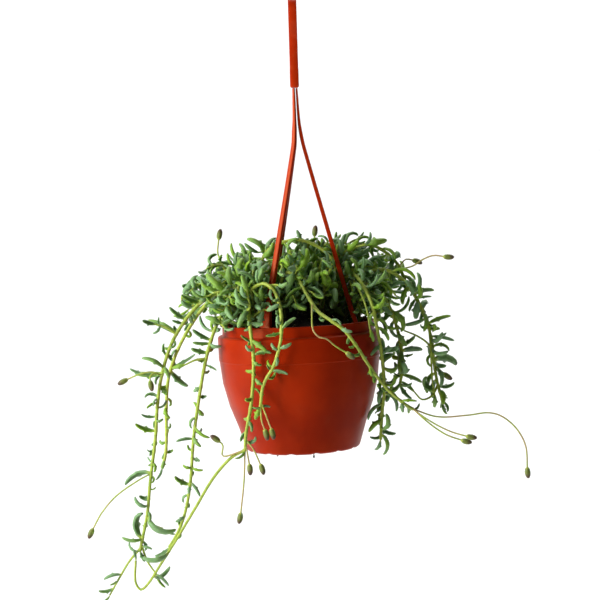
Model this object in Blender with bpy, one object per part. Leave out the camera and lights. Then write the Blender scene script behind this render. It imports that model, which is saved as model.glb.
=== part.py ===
"""A potted string of dolphins on a plastic hanger.

Frame: metres, +Z up, seen from the front along +Y. The origin is the top of the hook's inside,
where it rests on a pole. Sizes below are in millimetres and become metres when a mesh is made.
The pot hangs a little askew, as the plant's weight pulls it, so it has a frame of its own:
zero at the middle of its rim, Z up along its axis.
"""

import math
import random

import bmesh
import bpy
from mathutils import Matrix, Vector

MM = 0.001
GAP = 0.3

# The pot, in its own frame
RIM_CENTRE = (5.5, 0.0, -297.3)
POT_TILT = math.radians(-2.5)
POT_HEIGHT = 118.0
POT_WALL = 1.8
POT_SIDES = 36
COLLAR_HEIGHT = 10.6
COLLAR_INSIDE = 68.7
OUTSIDE = (
    (69.1, 0.0), (70.4, 0.0), (70.9, -0.7), (71.0, -9.4), (74.6, -10.4), (75.4, -11.6),
    (75.3, -32.6), (74.8, -33.4), (72.5, -54.0), (67.2, -75.4), (59.7, -95.8),
    (54.2, -113.5), (53.1, -116.6), (51.2, -POT_HEIGHT),
)
FOOT_INSIDE = 46.5
FLOOR_UNDERSIDE = -115.8
DRAIN_HOLES = 5
DRAIN_RADIUS = 4.0
DRAIN_CIRCLE = 30.0

# Lugs inside the collar, each with a slot for the foot of a strand
STRAND_ANGLES = {"front": math.radians(-123), "back": math.radians(120), "right": math.radians(-3)}
SLOT_CENTRE = 54.0
SLOT_DEPTH = 3.2
SLOT_WIDTH = 7.8
LUG_TOP = -3.0
LUG_THICKNESS = 2.9
LUG_WIDTH = 17.0
LUG_INSIDE = 49.5
LUG_SUNK = 70.0

# The soil
SOIL_CROWN = 9.0
SOIL_EDGE = -15.0
SOIL_STEEPNESS = 1.5
SOIL_SIDES = 24
HOLE_RADIUS = 2.4
HOLE_DEPTH = 8.0

# The hook and its strap
STRAP_WIDTH = 7.9
STRAP_THICKNESS = 2.2
STRAP_LEAN = math.radians(-1.7)
HOOK_INSIDE = 9.0
HOOK_TIP_DROP = 13.5
STRAP_BEND_TOP = -17.0
STRAP_BEND_BOTTOM = -36.0
FERRULE_TOP = -62.0
FERRULE_BOTTOM = -80.2
FERRULE_THICKNESS = 5.2

# The strands: how far below the ferrule, how far out, radial thickness and tangential width.
# From the last of these stations a strand runs straight to its wedge, and widens in the last stretch.
STRAND_STATIONS = (
    (0.0, 1.8, 1.8, 2.1), (28.0, 2.6, 2.6, 2.8), (40.0, 3.7, 3.2, 3.7), (55.0, 6.3, 3.4, 4.0),
)
STRAIGHT_SHARE = 0.88
STRAIGHT_SIZE = (4.2, 4.8)
WEDGE_TOP = 15.0
WEDGE_TOP_OUT = 48.8
WEDGE_TOP_SIZE = (4.4, 5.6)
WEDGE_BOTTOM_SIZE = (4.2, 11.6)
NECK_SIZE = (SLOT_DEPTH - 2 * GAP, SLOT_WIDTH - 2 * GAP)
BARB_SIZE = (4.8, 10.4)
BARB_HEIGHT = 1.8

# Stems, leaves and buds
SEED = 11
STEM_RADIUS = 1.75
STEM_TIP_RADIUS = 1.4
LONG_SHOOT_RADII = (1.45, 1.1)
LONG_SHOOT = 100.0
SHOOT_RADIUS = 1.2
STALK_RADIUS = 0.75
LINE_STEP = 2.0
OUT_OF_SOIL = 5
RING_TURN = math.radians(17)
RING_LONGEST = 17.0
GOLDEN_ANGLE = math.radians(137.5)
MOUND_LEAF_SPACING = 11.0
TRAIL_LEAF_SPACING = 14.0
FIRST_LEAF = 8
IN_MOUND = 40
TIP_DEPTHS = (-3, 5, -8, 10, -13, 16)
BULGE_TURN = math.radians(40)
LEAST_CURL = 0.5
MOST_CURL = 2.6
MOUND_STEMS = 33
MOUND_CIRCLE = 61.0
HOLE_SPACING = 8.0
DETOURS = ((0.0, 0.0), (0.35, 0.0), (-0.35, 0.0), (0.0, 0.4), (0.7, 0.0), (-0.7, 0.0), (0.0, 0.8), (0.0, -0.5),
           (1.1, 0.0), (-1.1, 0.0), (0.6, 0.6), (-0.6, 0.6), (1.7, 0.2), (-1.7, 0.2), (0.0, 1.2))
MOUND_STEP = 5.0
MOUND_ROOM = 3.2
MOUND_SHORTEST = 42.0
TOUCH = 0.55
POT_TOUCH = 1.0
CELL = 9.0

# The mound's outline from the front, x and z, which short stems and their leaves stay under
CANOPY = (
    (-108, -281), (-104, -261), (-86, -243), (-58, -224), (-48, -217), (-28, -218), (20, -218), (41, -214),
    (71, -212), (96, -222), (110, -241), (128, -264), (138, -277),
)

# The plant leaves the strands in sight down to these heights
STRANDS_SHOW = {"front": -256.0, "right": -286.0}
SIGHT_DEPTH = 100
SIGHT_RADIUS = 3.2

# The air in front of the long stems is kept free from this point on, so that they stay in sight
STEMS_SHOW_FROM = 12
STEM_SIGHT_RADIUS = 1.6

# Short stems leave this stretch of soil free (x, and y up to a line), where the strands and the soil show
BARE_FRONT = (-34.0, 44.0, -22.0)

# Leaf sections: place along the leaf, half width, half height, and how far a fin stands out there
LEAF_SECTIONS = ((0.0, 0.7, 0.7, 0.0), (0.34, 1.8, 1.5, 0.0), (0.45, 1.9, 1.6, 1.5), (0.57, 1.8, 1.5, 0.0))
LEAF_FULL_LENGTH = 22.0
WIDTH_POWER = 0.6
LEAF_BALLS = ((0.25, 1.8), (0.46, 3.0), (0.64, 1.8), (0.82, 1.4), (0.97, 1.0))

# Bud sections: place along the bud and radius
BUD_LENGTH = 10.5
BUD_SECTIONS = ((0.0, 0.9), (0.16, 2.1), (0.5, 2.6), (0.86, 1.7), (1.0, 0.8))
BUD_SIDES = 5

# Share of the faces that a fused stem keeps
FACES_KEPT = 0.61

# The long stems, each with its hole in the soil (in the pot's frame) and the points that it passes.
# A branch starts on its stem: "bud" ends a bare stalk in a bud, "leafy" is a side shoot.
LONG_STEMS = {
    "stem_front_left": {
        "hole": (-42, -34),
        "line": [(-39, -48, -278), (-39, -63, -284), (-37, -72, -299), (-34, -72, -327), (-36, -71, -364),
                 (-41, -69, -393), (-42, -68, -408)],
        "branches": [
            ("bud", [(-42, -68, -408), (-43, -67, -436), (-46, -66, -466)]),
            ("bud", [(-42, -68, -402), (-40, -70, -410), (-38, -71, -421)]),
            ("bud", [(-42, -68, -398), (-34, -70, -408), (-28, -71, -421)]),
            ("leafy", [(-42, -68, -407), (-55, -64, -416), (-71, -58, -435), (-88, -50, -464), (-105, -42, -493),
                       (-121, -35, -519), (-133, -30, -538), (-140, -28, -544), (-145, -26, -537),
                       (-145, -23, -518)]),
            ("bud", [(-55, -64, -416), (-62, -66, -414), (-62, -66, -404), (-66, -66, -400)]),
        ],
    },
    "stem_front": {
        "hole": (-36, -20),
        "line": [(-36, -38, -268), (-33, -51, -262), (-24, -59, -259), (-15, -64, -267), (-10, -73, -282),
                 (-9, -81, -297), (-10, -83, -310),
                 (-16, -80, -331), (-25, -78, -348), (-28, -76, -368)],
        "branches": [
            ("bud", [(-28, -76, -366), (-27, -76, -380), (-24, -76, -389)]),
            ("bud", [(-28, -76, -363), (-22, -77, -378), (-18, -77, -389)]),
        ],
    },
    "stem_front_right": {
        "hole": (-12, -14),
        "line": [(-9, -22, -257), (-3, -28, -250), (5, -36, -255), (14, -50, -270), (24, -62, -284),
                 (36, -70, -292), (47, -71, -300), (57, -67, -313), (71, -54, -335), (87, -42, -356),
                 (104, -34, -371), (112, -31, -376)],
        "branches": [
            ("bud", [(112, -31, -376), (134, -28, -383), (163, -24, -382), (181, -22, -380), (193, -21, -383),
                     (205, -20, -392), (213, -20, -403), (217, -20, -414),
                     (218, -20, -432)]),
            ("bud", [(110, -31, -375), (122, -37, -383), (134, -39, -390), (147, -38, -396), (161, -38, -400)]),
            ("bud", [(110, -31, -375), (128, -33, -390), (142, -34, -399), (156, -34, -404)]),
            ("bud", [(19, -56, -277), (18, -72, -286), (19, -81, -299), (24, -82, -305), (31, -80, -307),
                     (38, -77, -313), (49, -74, -320)]),
        ],
    },
    "stem_left_long": {
        "hole": (-48, -6),
        "line": [(-62, -6, -271), (-82, -8, -277), (-101, -10, -298), (-113, -12, -320), (-121, -13, -347),
                 (-125, -13, -374), (-127, -13, -405), (-132, -13, -445), (-135, -12, -476), (-142, -12, -511)],
        "branches": [
            ("leafy", [(-142, -12, -509), (-152, -10, -521), (-161, -8, -536), (-171, -6, -554)]),
            ("leafy", [(-141, -12, -505), (-135, -9, -522), (-127, -8, -534)]),
            ("leafy", [(-135, -12, -474), (-131, -8, -486), (-121, -6, -491)]),
            ("leafy", [(-106, -11, -308), (-116, -13, -302), (-126, -14, -299)]),
            ("bud", [(-121, -13, -345), (-130, -14, -343), (-141, -15, -345), (-153, -15, -350)]),
            ("bud", [(-132, -13, -438), (-143, -17, -444), (-163, -19, -458), (-176, -20, -473),
                     (-185, -20, -489)]),
            ("bud", [(-121, -13, -347), (-127, -18, -344), (-131, -20, -346), (-131, -20, -351)]),
        ],
    },
    "stem_left_back": {
        "hole": (-46, 14),
        "line": [(-60, 13, -270), (-80, 13, -281), (-103, 15, -315), (-116, 17, -348), (-119, 17, -377),
                 (-119, 16, -409), (-120, 14, -426), (-123, 10, -436)],
        "branches": [],
    },
    "stem_left_front": {
        "hole": (-50, -24),
        "line": [(-56, -25, -280), (-66, -28, -292), (-74, -31, -312), (-80, -30, -335), (-87, -28, -376),
                 (-91, -27, -407), (-94, -26, -446), (-99, -25, -473), (-106, -22, -492), (-114, -18, -506)],
        "branches": [
            ("leafy", [(-78, -30, -328), (-88, -34, -330), (-97, -36, -334)]),
        ],
    },
    "stem_right_outer": {
        "hole": (44, 6),
        "line": [(60, 6, -262), (75, 6, -250), (90, 8, -250), (103, 10, -258), (115, 12, -273), (125, 13, -294),
                 (131, 13, -314), (134, 13, -339), (137, 13, -356), (142, 13, -374)],
        "branches": [
            ("bud", [(134, 13, -340), (143, 12, -347)]),
            ("leafy", [(138, 13, -358), (131, 8, -368), (122, 6, -371), (115, 5, -364)]),
            ("leafy", [(133, 13, -326), (127, 9, -318), (117, 6, -311), (105, 5, -306)]),
            ("leafy", [(129, 13, -306), (130, 8, -320), (131, 8, -340), (132, 8, -356), (134, 8, -366)]),
        ],
    },
    "stem_right_arch": {
        "hole": (30, 22),
        "line": [(36, 21, -262), (46, 19, -240), (58, 19, -229), (73, 20, -226), (88, 22, -233), (100, 25, -245),
                 (108, 27, -262)],
        "branches": [
            ("bud", [(103, 26, -250), (114, 22, -246), (123, 20, -240), (133, 18, -236), (143, 17, -237)]),
            ("bud", [(100, 25, -246), (108, 31, -240), (115, 33, -241)]),
        ],
    },
    "stem_right_front": {
        "hole": (38, 13),
        "line": [(43, 13, -268), (48, 11, -258), (56, 2, -253), (60, -12, -255), (66, -27, -263), (73, -38, -279),
                 (77, -38, -297), (81, -34, -318), (84, -29, -340), (85, -25, -360), (83, -21, -383),
                 (82, -21, -405)],
        "branches": [("leafy", [(56, 2, -253), (58, -14, -260), (63, -31, -269), (68, -43, -283), (71, -46, -301)])],
    },
    "stem_right_inner": {
        "hole": (56, 16),
        "line": [(68, 14, -276), (80, 6, -272), (90, 2, -282), (97, 0, -300), (102, -1, -322), (103, -1, -340),
                 (101, -1, -355)],
        "branches": [],
    },
    "stem_top_left": {
        "hole": (-38, 2),
        "line": [(-46, -1, -272), (-56, -4, -256), (-66, -6, -243)],
        "branches": [("bud", [(-66, -6, -243), (-69, -6, -232), (-68, -6, -220)])],
    },
    "stem_top_arch": {
        "hole": (-16, 8),
        "line": [(-17, 5, -268), (-26, 0, -251), (-28, -4, -240), (-19, -6, -228), (-5, -7, -222), (8, -8, -221),
                 (22, -8, -226), (33, -9, -234), (39, -9, -241)],
        "branches": [],
    },
    "stem_top_back": {
        "hole": (10, 16),
        "line": [(14, 14, -262), (18, 11, -243), (21, 9, -226)],
        "branches": [("bud", [(21, 9, -228), (21, 8, -217)])],
    },
}

# Leaves of the trailing stems that stand alone: which shoot, how far along it, how far across and up
# the tip is from there, how far the leaf bulges to the left of that line, and its girth
PLACED_LEAVES = {
    "stem_left_long": (
        (0, 100, -28, 12, -1, 1.3), (0, 122, -2, 12, 2, 1), (0, 134, -20, 10, -3, 1), (0, 138, -27, -1, 0, 1.3),
        (0, 142, -12, -10, -5, 1.9), (0, 162, -12, 1, -3, 1.1), (0, 164, 7, -6, -1, 1.1),
        (0, 166, -10, -5, -1, 1.1), (0, 170, -1, -4, -1, 0.8), (0, 178, -14, 2, 2, 0.9), (0, 192, -19, 7, 2, 1.2),
        (0, 194, 7, 4, -1, 0.9), (0, 196, 7, 2, -2, 1), (0, 208, 6, -7, -2, 1.2), (0, 212, -6, 3, 1, 0.8),
        (0, 222, -5, -4, 0, 0.9), (0, 222, -5, 5, 0, 0.9), (0, 222, 11, 2, 0, 1.1), (0, 232, -25, -12, -4, 1.2),
        (0, 262, -12, 9, 3, 1.2), (0, 286, -19, 2, 2, 1.1), (0, 286, 1, 24, 7, 1.3), (0, 294, -9, 9, 4, 0.8),
        (1, 22, -16, -4, -2, 1), (1, 26, -7, -3, 0, 0.9), (1, 32, -14, -2, 2, 1.1), (2, 2, 10, -2, 1, 1),
        (3, 4, 26, -12, -6, 1.3), (4, 14, -6, -7, 2, 1), (4, 14, 0, 8, 0, 0.9), (5, 14, -13, 4, 1, 1),
        (0, 66, -3, 24, -7, 1.5), (0, 84, -15, 12, 1, 1.2), (0, 88, -10, 3, 0, 1.2),
    ),
    "stem_top_left": (
        (0, 44, -15, 3, -3, 1.4), (0, 46, 6, -17, 7, 1.2),
    ),
    "stem_left_back": (
        (0, 120, 23, 13, -1, 0.7), (0, 122, 17, -15, -2, 1.3), (0, 124, 28, -11, -1, 1.1), (0, 178, 0, 7, -1, 0.8),
        (0, 192, -5, -10, 0, 1.3),
    ),
    "stem_left_front": (
        (0, 64, -17, 10, 1, 1.2), (0, 66, -16, 1, 0, 1.1), (0, 72, -15, 4, 1, 1.4), (0, 80, 11, -5, 0, 0.9),
        (0, 108, -4, 5, -1, 1), (0, 124, 14, -10, -2, 1), (0, 136, -16, -2, -1, 1.1), (0, 162, 11, -2, -1, 1.1),
        (0, 176, 9, -13, 1, 1), (0, 178, -14, 8, 2, 1.3),
    ),
    "stem_front_left": (
        (0, 74, -10, 7, 0, 0.9), (0, 86, 16, 3, 2, 1.2), (0, 90, 19, -1, 3, 0.9), (0, 98, -7, -1, 0, 1.4),
        (0, 140, -4, -3, 0, 1.4), (4, 90, -24, -4, 4, 1.3), (4, 116, 13, -11, 1, 1), (4, 116, 13, 4, -6, 0.9),
    ),
    "stem_front": (
        (0, 110, 13, 11, 0, 1.2), (0, 112, -14, -3, 0, 1), (0, 124, 11, 5, -1, 1.3), (0, 146, -4, 6, 0, 0.8),
        (0, 146, 15, -3, 0, 1.2), (0, 160, -8, -1, 0, 1.5), (0, 180, -7, 0, 1, 1), (0, 180, 9, -1, 0, 1.2),
    ),
    "stem_right_outer": (
        (0, 96, -19, -7, -4, 1.1), (0, 104, 4, 18, -4, 1.2), (0, 108, 19, 4, 2, 1.3), (0, 112, -7, -12, -1, 1.2),
        (0, 112, 14, 2, 0, 0.9), (0, 124, 5, 7, 2, 1.6), (0, 132, -21, -6, 0, 1.2), (0, 132, 7, 2, 0, 0.9),
        (0, 136, 22, 8, 0, 1.1), (0, 138, -7, 3, 3, 1), (0, 144, 22, -4, 1, 1), (0, 146, 15, 6, -2, 0.9),
        (0, 152, 7, 13, -4, 0.9), (0, 154, 15, -3, 5, 1), (0, 166, 21, -4, 4, 1.9), (0, 188, 15, 3, -3, 1.1),
        (0, 198, -1, -9, 0, 1), (0, 198, 6, 1, 1, 1), (0, 200, 4, -9, 2, 1.1), (2, 6, -8, 13, 6, 1.7),
    ),
    "stem_right_inner": (
        (0, 92, -13, -6, -1, 0.9), (0, 92, 13, 10, -1, 1.2), (0, 96, 20, 1, 1, 1.6), (0, 100, 10, 2, -1, 0.9),
        (0, 108, -12, -5, 0, 1.1), (0, 118, 19, -7, 0, 1.2), (0, 120, -7, 4, 0, 1), (0, 126, 11, -14, -2, 1.1),
        (0, 126, 11, 1, -2, 1.1),
    ),
    "stem_right_front": (
        (0, 132, -9, -8, -1, 1.1), (0, 138, 10, 7, 0, 1.1), (0, 144, 8, 6, 1, 1.1), (0, 158, 11, 2, -4, 1.1),
        (0, 164, 2, -15, 3, 1.4), (0, 186, -7, -3, -1, 0.8), (0, 196, 14, -10, -4, 1.1), (0, 206, -10, -3, 4, 1),
        (0, 206, -4, -10, 0, 1.2), (0, 206, 2, -9, -2, 1),
    ),
    "stem_front_right": (
        (0, 172, -7, -1, -2, 0.9), (0, 192, 10, 8, -1, 1.1), (0, 206, 15, 0, 0, 0.8), (0, 214, 1, -8, 0, 1.1),
    ),
}


def pot_frame():
    """The pot's own frame, in millimetres."""
    return Matrix.Translation(RIM_CENTRE) @ Matrix.Rotation(POT_TILT, 4, "Y")


POT_FRAME = pot_frame()
POT_INVERSE = POT_FRAME.inverted()
POT_UP = (POT_FRAME.to_3x3() @ Vector((0, 0, 1))).normalized()


def outer_radius(height):
    """Radius of the pot's outside at a height in its own frame, below the rim."""
    for (upper_radius, upper), (lower_radius, lower) in zip(OUTSIDE, OUTSIDE[1:]):
        if lower <= height < upper:
            share = (upper - height) / (upper - lower)
            return upper_radius + share * (lower_radius - upper_radius)
    return OUTSIDE[-1][0]


def soil_height(radius):
    """Height of the heaped soil at a distance from the pot's axis."""
    share = min(radius / COLLAR_INSIDE, 1.0)
    return SOIL_EDGE + (SOIL_CROWN - SOIL_EDGE) * math.cos(share * math.pi / 2) ** SOIL_STEEPNESS


def polar(radius, angle, height):
    return Vector((radius * math.cos(angle), radius * math.sin(angle), height))


# How the plant grows


class Space:
    """The air round the pot, with balls where something is already."""

    def __init__(self):
        self.cells = {}

    def add(self, centre, radius, owner):
        cell = tuple(math.floor(value / CELL) for value in centre)
        self.cells.setdefault(cell, []).append((centre, radius, owner))

    def is_free(self, centre, radius, gap, ignored=None):
        column, row, layer = (math.floor(value / CELL) for value in centre)
        for x in (column - 1, column, column + 1):
            for y in (row - 1, row, row + 1):
                for z in (layer - 1, layer, layer + 1):
                    for other, size, owner in self.cells.get((x, y, z), ()):
                        if owner != ignored and (other - centre).length < radius + size + gap:
                            return False
        return True


class Leaf:
    """A fleshy leaf: an arc that leaves its stem along out and turns towards bend."""

    def __init__(self, root, out, bend, length, curl, fins, girth=1.0):
        self.root = root
        self.out = out
        self.bend = bend
        self.side = out.cross(bend)
        self.length = length
        self.curl = curl
        self.fins = fins
        self.width = (length / LEAF_FULL_LENGTH) ** WIDTH_POWER * girth

    def place(self, share):
        """A point of the middle line and the direction across the leaf's back there."""
        angle = self.curl * share
        radius = self.length / self.curl
        point = self.root + self.out * radius * math.sin(angle) + self.bend * radius * (1 - math.cos(angle))
        back = self.out * math.sin(angle) - self.bend * math.cos(angle)
        return point, back

    def balls(self):
        return [(self.place(share)[0], radius * self.width) for share, radius in LEAF_BALLS]


class Shoot:
    """One stem or branch: its line, thickness along it and what it ends in."""

    def __init__(self, line, start_radius, end_radius, ending):
        self.line = line
        self.start_radius = start_radius
        self.end_radius = end_radius
        self.ending = ending
        self.tangents = tangents_of(line)
        self.sides = sides_of(self.tangents)

    def radius_at(self, index):
        share = index / (len(self.line) - 1)
        return self.start_radius + share * (self.end_radius - self.start_radius)


class Stem:
    """A leafy stem with its branches, leaves and buds, which grew as one piece."""

    def __init__(self, name, hole):
        self.name = name
        self.hole = hole
        self.shoots = []
        self.leaves = []


def tangents_of(line):
    last = len(line) - 1
    return [(line[min(i + 1, last)] - line[max(i - 1, 0)]).normalized() for i in range(last + 1)]


def sides_of(tangents):
    """A direction across the line at each point, carried along it without twist."""
    side = tangents[0].orthogonal().normalized()
    sides = []
    for tangent in tangents:
        side = (side - tangent * side.dot(tangent)).normalized()
        sides.append(side)
    return sides


def smooth_line(points, step):
    """Even steps along a smooth curve through the points."""
    points = [Vector(point) for point in points]
    padded = [points[0] * 2 - points[1]] + points + [points[-1] * 2 - points[-2]]
    fine = [points[0]]
    for before, start, end, after in zip(padded, padded[1:], padded[2:], padded[3:]):
        span = (end - start).length
        lead = (end - before) * (span / ((end - start).length + (start - before).length))
        trail = (after - start) * (span / ((end - start).length + (after - end).length))
        count = max(2, round(span / step * 2))
        for i in range(1, count + 1):
            t = i / count
            fine.append(start * (2 * t**3 - 3 * t**2 + 1) + lead * (t**3 - 2 * t**2 + t)
                        + end * (3 * t**2 - 2 * t**3) + trail * (t**3 - t**2))
    even = [fine[0]]
    travelled = 0.0
    for a, b in zip(fine, fine[1:]):
        travelled += (b - a).length
        if travelled >= step:
            even.append(b)
            travelled = 0.0
    if travelled > step / 2:
        even.append(fine[-1])
    return even


def clears_pot(point, reach):
    """Whether a ball stays clear of the pot, the soil and the space that a shelf takes below."""
    local = POT_INVERSE @ point
    radius = math.hypot(local.x, local.y)
    inside = radius < COLLAR_INSIDE + 1
    if local.z > reach:
        return not inside or local.z - soil_height(radius) > reach
    if local.z < -POT_HEIGHT - 25:
        return True
    if inside and local.z > -COLLAR_HEIGHT:
        return radius < COLLAR_INSIDE - reach and local.z - soil_height(radius) > reach
    return radius > outer_radius(min(local.z, -0.1)) + reach


def is_under_canopy(point, reach):
    """Whether a ball stays under the mound's outline."""
    for (left, left_top), (right, right_top) in zip(CANOPY, CANOPY[1:]):
        if left <= point.x < right:
            share = (point.x - left) / (right - left)
            return point.z + reach < left_top + share * (right_top - left_top)
    return point.z + reach < min(CANOPY[0][1], CANOPY[-1][1])


def rooted(hole):
    """The first points of a stem: straight up out of its hole in the soil."""
    top = soil_height(math.hypot(*hole))
    return [POT_FRAME @ Vector((*hole, top + rise)) for rise in (-HOLE_DEPTH, -4.0, 0.0, 3.5, 7.5)]


def add_shoot(space, stem, line, radii, ending):
    shoot = Shoot(line, *radii, ending)
    stem.shoots.append(shoot)
    for index, point in enumerate(line):
        space.add(point, shoot.radius_at(index), stem.name)
    if ending == "bud":
        for share, radius in BUD_SECTIONS[1:4]:
            space.add(line[-1] + shoot.tangents[-1] * (share * BUD_LENGTH), radius, stem.name)
    return shoot


def long_stem(space, name, plan):
    stem = Stem(name, plan["hole"])
    line = smooth_line(rooted(plan["hole"]) + plan["line"], LINE_STEP)
    add_shoot(space, stem, line, (STEM_RADIUS, STEM_TIP_RADIUS), "leafy")
    for ending, points in plan["branches"]:
        nearest = min(line, key=lambda point: (point - Vector(points[0])).length)
        branch = smooth_line([nearest] + points[1:], LINE_STEP)
        if ending == "bud":
            radii = (STALK_RADIUS, STALK_RADIUS)
        elif len(branch) * LINE_STEP > LONG_SHOOT:
            radii = LONG_SHOOT_RADII
        else:
            radii = (SHOOT_RADIUS, STALK_RADIUS)
        add_shoot(space, stem, branch, radii, ending)
    return stem


def is_bare(hole):
    """Whether a place in the soil is in the stretch at the front that short stems leave free."""
    left, right, front = BARE_FRONT
    return left < hole.x < right and hole.y < front


def mound_holes():
    """Places for the short stems: a sunflower's spiral from the rim inwards, away from the long stems' holes."""
    taken = [Vector(plan["hole"]) for plan in LONG_STEMS.values()]
    lugs = [polar(SLOT_CENTRE, angle, 0.0).xy for angle in STRAND_ANGLES.values()]
    holes = []
    seeds = MOUND_STEMS * 5 // 2
    for i in reversed(range(seeds)):
        radius = MOUND_CIRCLE * math.sqrt((i + 0.5) / seeds)
        hole = Vector((radius * math.cos(i * GOLDEN_ANGLE), radius * math.sin(i * GOLDEN_ANGLE)))
        by_a_lug = any((hole - lug).length < LUG_WIDTH for lug in lugs)
        if not by_a_lug and not is_bare(hole) and all((hole - other).length > HOLE_SPACING for other in taken):
            holes.append(hole)
            taken.append(hole)
    return holes


def mound_line(space, draw, hole, name):
    """A short stem's points: up from the soil, out and over, round what is in its way."""
    points = rooted(tuple(hole))
    distance = min(hole.length / MOUND_CIRCLE, 1.0)
    heading = math.atan2(hole.y, hole.x) + draw.uniform(-0.5, 0.5)
    reach = 0.82 + 0.16 * math.cos(heading)
    length = reach * (66.0 + 34.0 * distance + draw.uniform(-8.0, 12.0))
    first_lean = math.radians(8.0 + 26.0 * distance**2)
    added_lean = math.radians(50.0 + 66.0 * distance + draw.uniform(-15.0, 15.0))
    direction = POT_UP.copy()
    grown = 0.0
    while grown < length:
        for turn, rise in DETOURS:
            azimuth = heading + turn
            lean = first_lean + added_lean * (grown / length) ** 1.1 - rise
            wanted = Vector((math.sin(lean) * math.cos(azimuth), math.sin(lean) * math.sin(azimuth), math.cos(lean)))
            step = (direction * 0.6 + wanted * 0.55).normalized()
            point = points[-1] + step * MOUND_STEP
            in_bounds = clears_pot(point, MOUND_ROOM) and is_under_canopy(point, MOUND_ROOM)
            if in_bounds and space.is_free(point, SHOOT_RADIUS, MOUND_ROOM, name):
                break
        else:
            break
        points.append(point)
        direction = step
        heading += turn * 0.4 + draw.uniform(-0.16, 0.16)
        grown += MOUND_STEP
    return points


def mound_stems(space):
    """The short stems, from the outer holes inwards, without those that would find no room to grow."""
    stems = []
    for number, hole in enumerate(mound_holes()):
        name = f"stem_mound_{len(stems) + 1:02d}"
        line = smooth_line(mound_line(space, random.Random(SEED * 1000 + number), hole, name), LINE_STEP)
        if len(stems) < MOUND_STEMS and len(line) * LINE_STEP > MOUND_SHORTEST:
            stem = Stem(name, tuple(hole))
            add_shoot(space, stem, line, (SHOOT_RADIUS + 0.15, SHOOT_RADIUS - 0.25), "leafy")
            stems.append(stem)
    return stems


def try_leaf(space, draw, stem, shoot, index, azimuth, length, end_leaf=False):
    """Sets a leaf at a point of the shoot, turned until it clears everything, or leaves it out."""
    tangent = shoot.tangents[index]
    side = shoot.sides[index]
    across = tangent.cross(side)
    for attempt in range(14):
        turned = azimuth + attempt * 0.8
        pitch = math.radians(draw.uniform(50, 88))
        if end_leaf:
            pitch = math.radians(draw.uniform(5, 30))
        around = side * math.cos(turned) + across * math.sin(turned)
        out = (around * math.sin(pitch) + tangent * math.cos(pitch)).normalized()
        wanted = Vector((0, 0, draw.uniform(0.2, 1.2))) + tangent * draw.uniform(-0.2, 0.8)
        wanted += Vector([draw.uniform(-0.5, 0.5) for _ in range(3)])
        bend = (wanted - out * wanted.dot(out)).normalized()
        curl = math.radians(draw.uniform(35, 95))
        size = length * (1.0 - 0.035 * attempt)
        leaf = Leaf(shoot.line[index], out, bend, size, curl, draw.choice(("both", "both", "left", "right")))
        balls = leaf.balls()
        if not all(clears_pot(centre, radius + POT_TOUCH) and is_under_canopy(centre, radius)
                   for centre, radius in balls):
            continue
        if not space.is_free(*balls[0], TOUCH, stem.name):
            continue
        if all(space.is_free(centre, radius, TOUCH) for centre, radius in balls[1:]):
            for centre, radius in balls:
                space.add(centre, radius, stem.name)
            stem.leaves.append(leaf)
            return True
    return False


def placed_leaf(space, draw, stem, shoot, along, across, up, bulge, girth):
    """A leaf with its tip at a given place as seen from the front, nearer or farther as there is room."""
    root = shoot.line[min(round(along / LINE_STEP), len(shoot.line) - 1)]
    for depth in TIP_DEPTHS:
        chord = Vector((across, depth, up))
        leftwards = chord.cross(Vector((0, 1, 0))).normalized()
        turn = draw.choice((-1, 1)) * BULGE_TURN
        sideways = leftwards.cross(chord).normalized()
        bow = leftwards * math.cos(turn) + sideways * math.sin(turn)
        if bulge < 0:
            bow = -bow
        # An arc that bulges by b over a chord c turns by about 8 b / c
        curl = min(max(8 * abs(bulge) / math.cos(turn) / chord.length, LEAST_CURL), MOST_CURL)
        ahead = chord.normalized()
        out = ahead * math.cos(curl / 2) + bow * math.sin(curl / 2)
        bend = ahead * math.sin(curl / 2) - bow * math.cos(curl / 2)
        length = chord.length * (curl / 2) / math.sin(curl / 2)
        leaf = Leaf(root, out, bend, length, curl, draw.choice(("both", "left", "right")), girth)
        balls = leaf.balls()
        if all(clears_pot(centre, radius + POT_TOUCH) for centre, radius in balls) and all(
                space.is_free(centre, radius, TOUCH, stem.name if number == 0 else None)
                for number, (centre, radius) in enumerate(balls)):
            for centre, radius in balls:
                space.add(centre, radius, stem.name)
            stem.leaves.append(leaf)
            return True
    return False


def first_leaf_index(stem, shoot):
    """Where leaves begin: above the soil on a stem, close to the fork on a branch."""
    return FIRST_LEAF if shoot is stem.shoots[0] else 3


def add_leaves(space, draw, stem):
    mound = stem.name.startswith("stem_mound")
    placed = PLACED_LEAVES.get(stem.name, ())
    for number, *place in placed:
        placed_leaf(space, draw, stem, stem.shoots[number], *place)
    for shoot in stem.shoots:
        last = len(shoot.line) - 1
        if shoot.ending == "leafy":
            try_leaf(space, draw, stem, shoot, last, draw.uniform(0, 6), draw.uniform(13, 18), end_leaf=True)
            azimuth = draw.uniform(0, 6)
            index = first_leaf_index(stem, shoot)
            if placed:
                last = min(last, IN_MOUND) if shoot is stem.shoots[0] else 0
            while index < last - 1:
                in_mound = mound or index < IN_MOUND
                length = draw.uniform(18, 27) if in_mound else draw.uniform(14, 21)
                try_leaf(space, draw, stem, shoot, index, azimuth, length)
                azimuth += GOLDEN_ANGLE
                spacing = MOUND_LEAF_SPACING if in_mound else TRAIL_LEAF_SPACING
                index += round(spacing / LINE_STEP * draw.uniform(0.75, 1.25))


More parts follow.
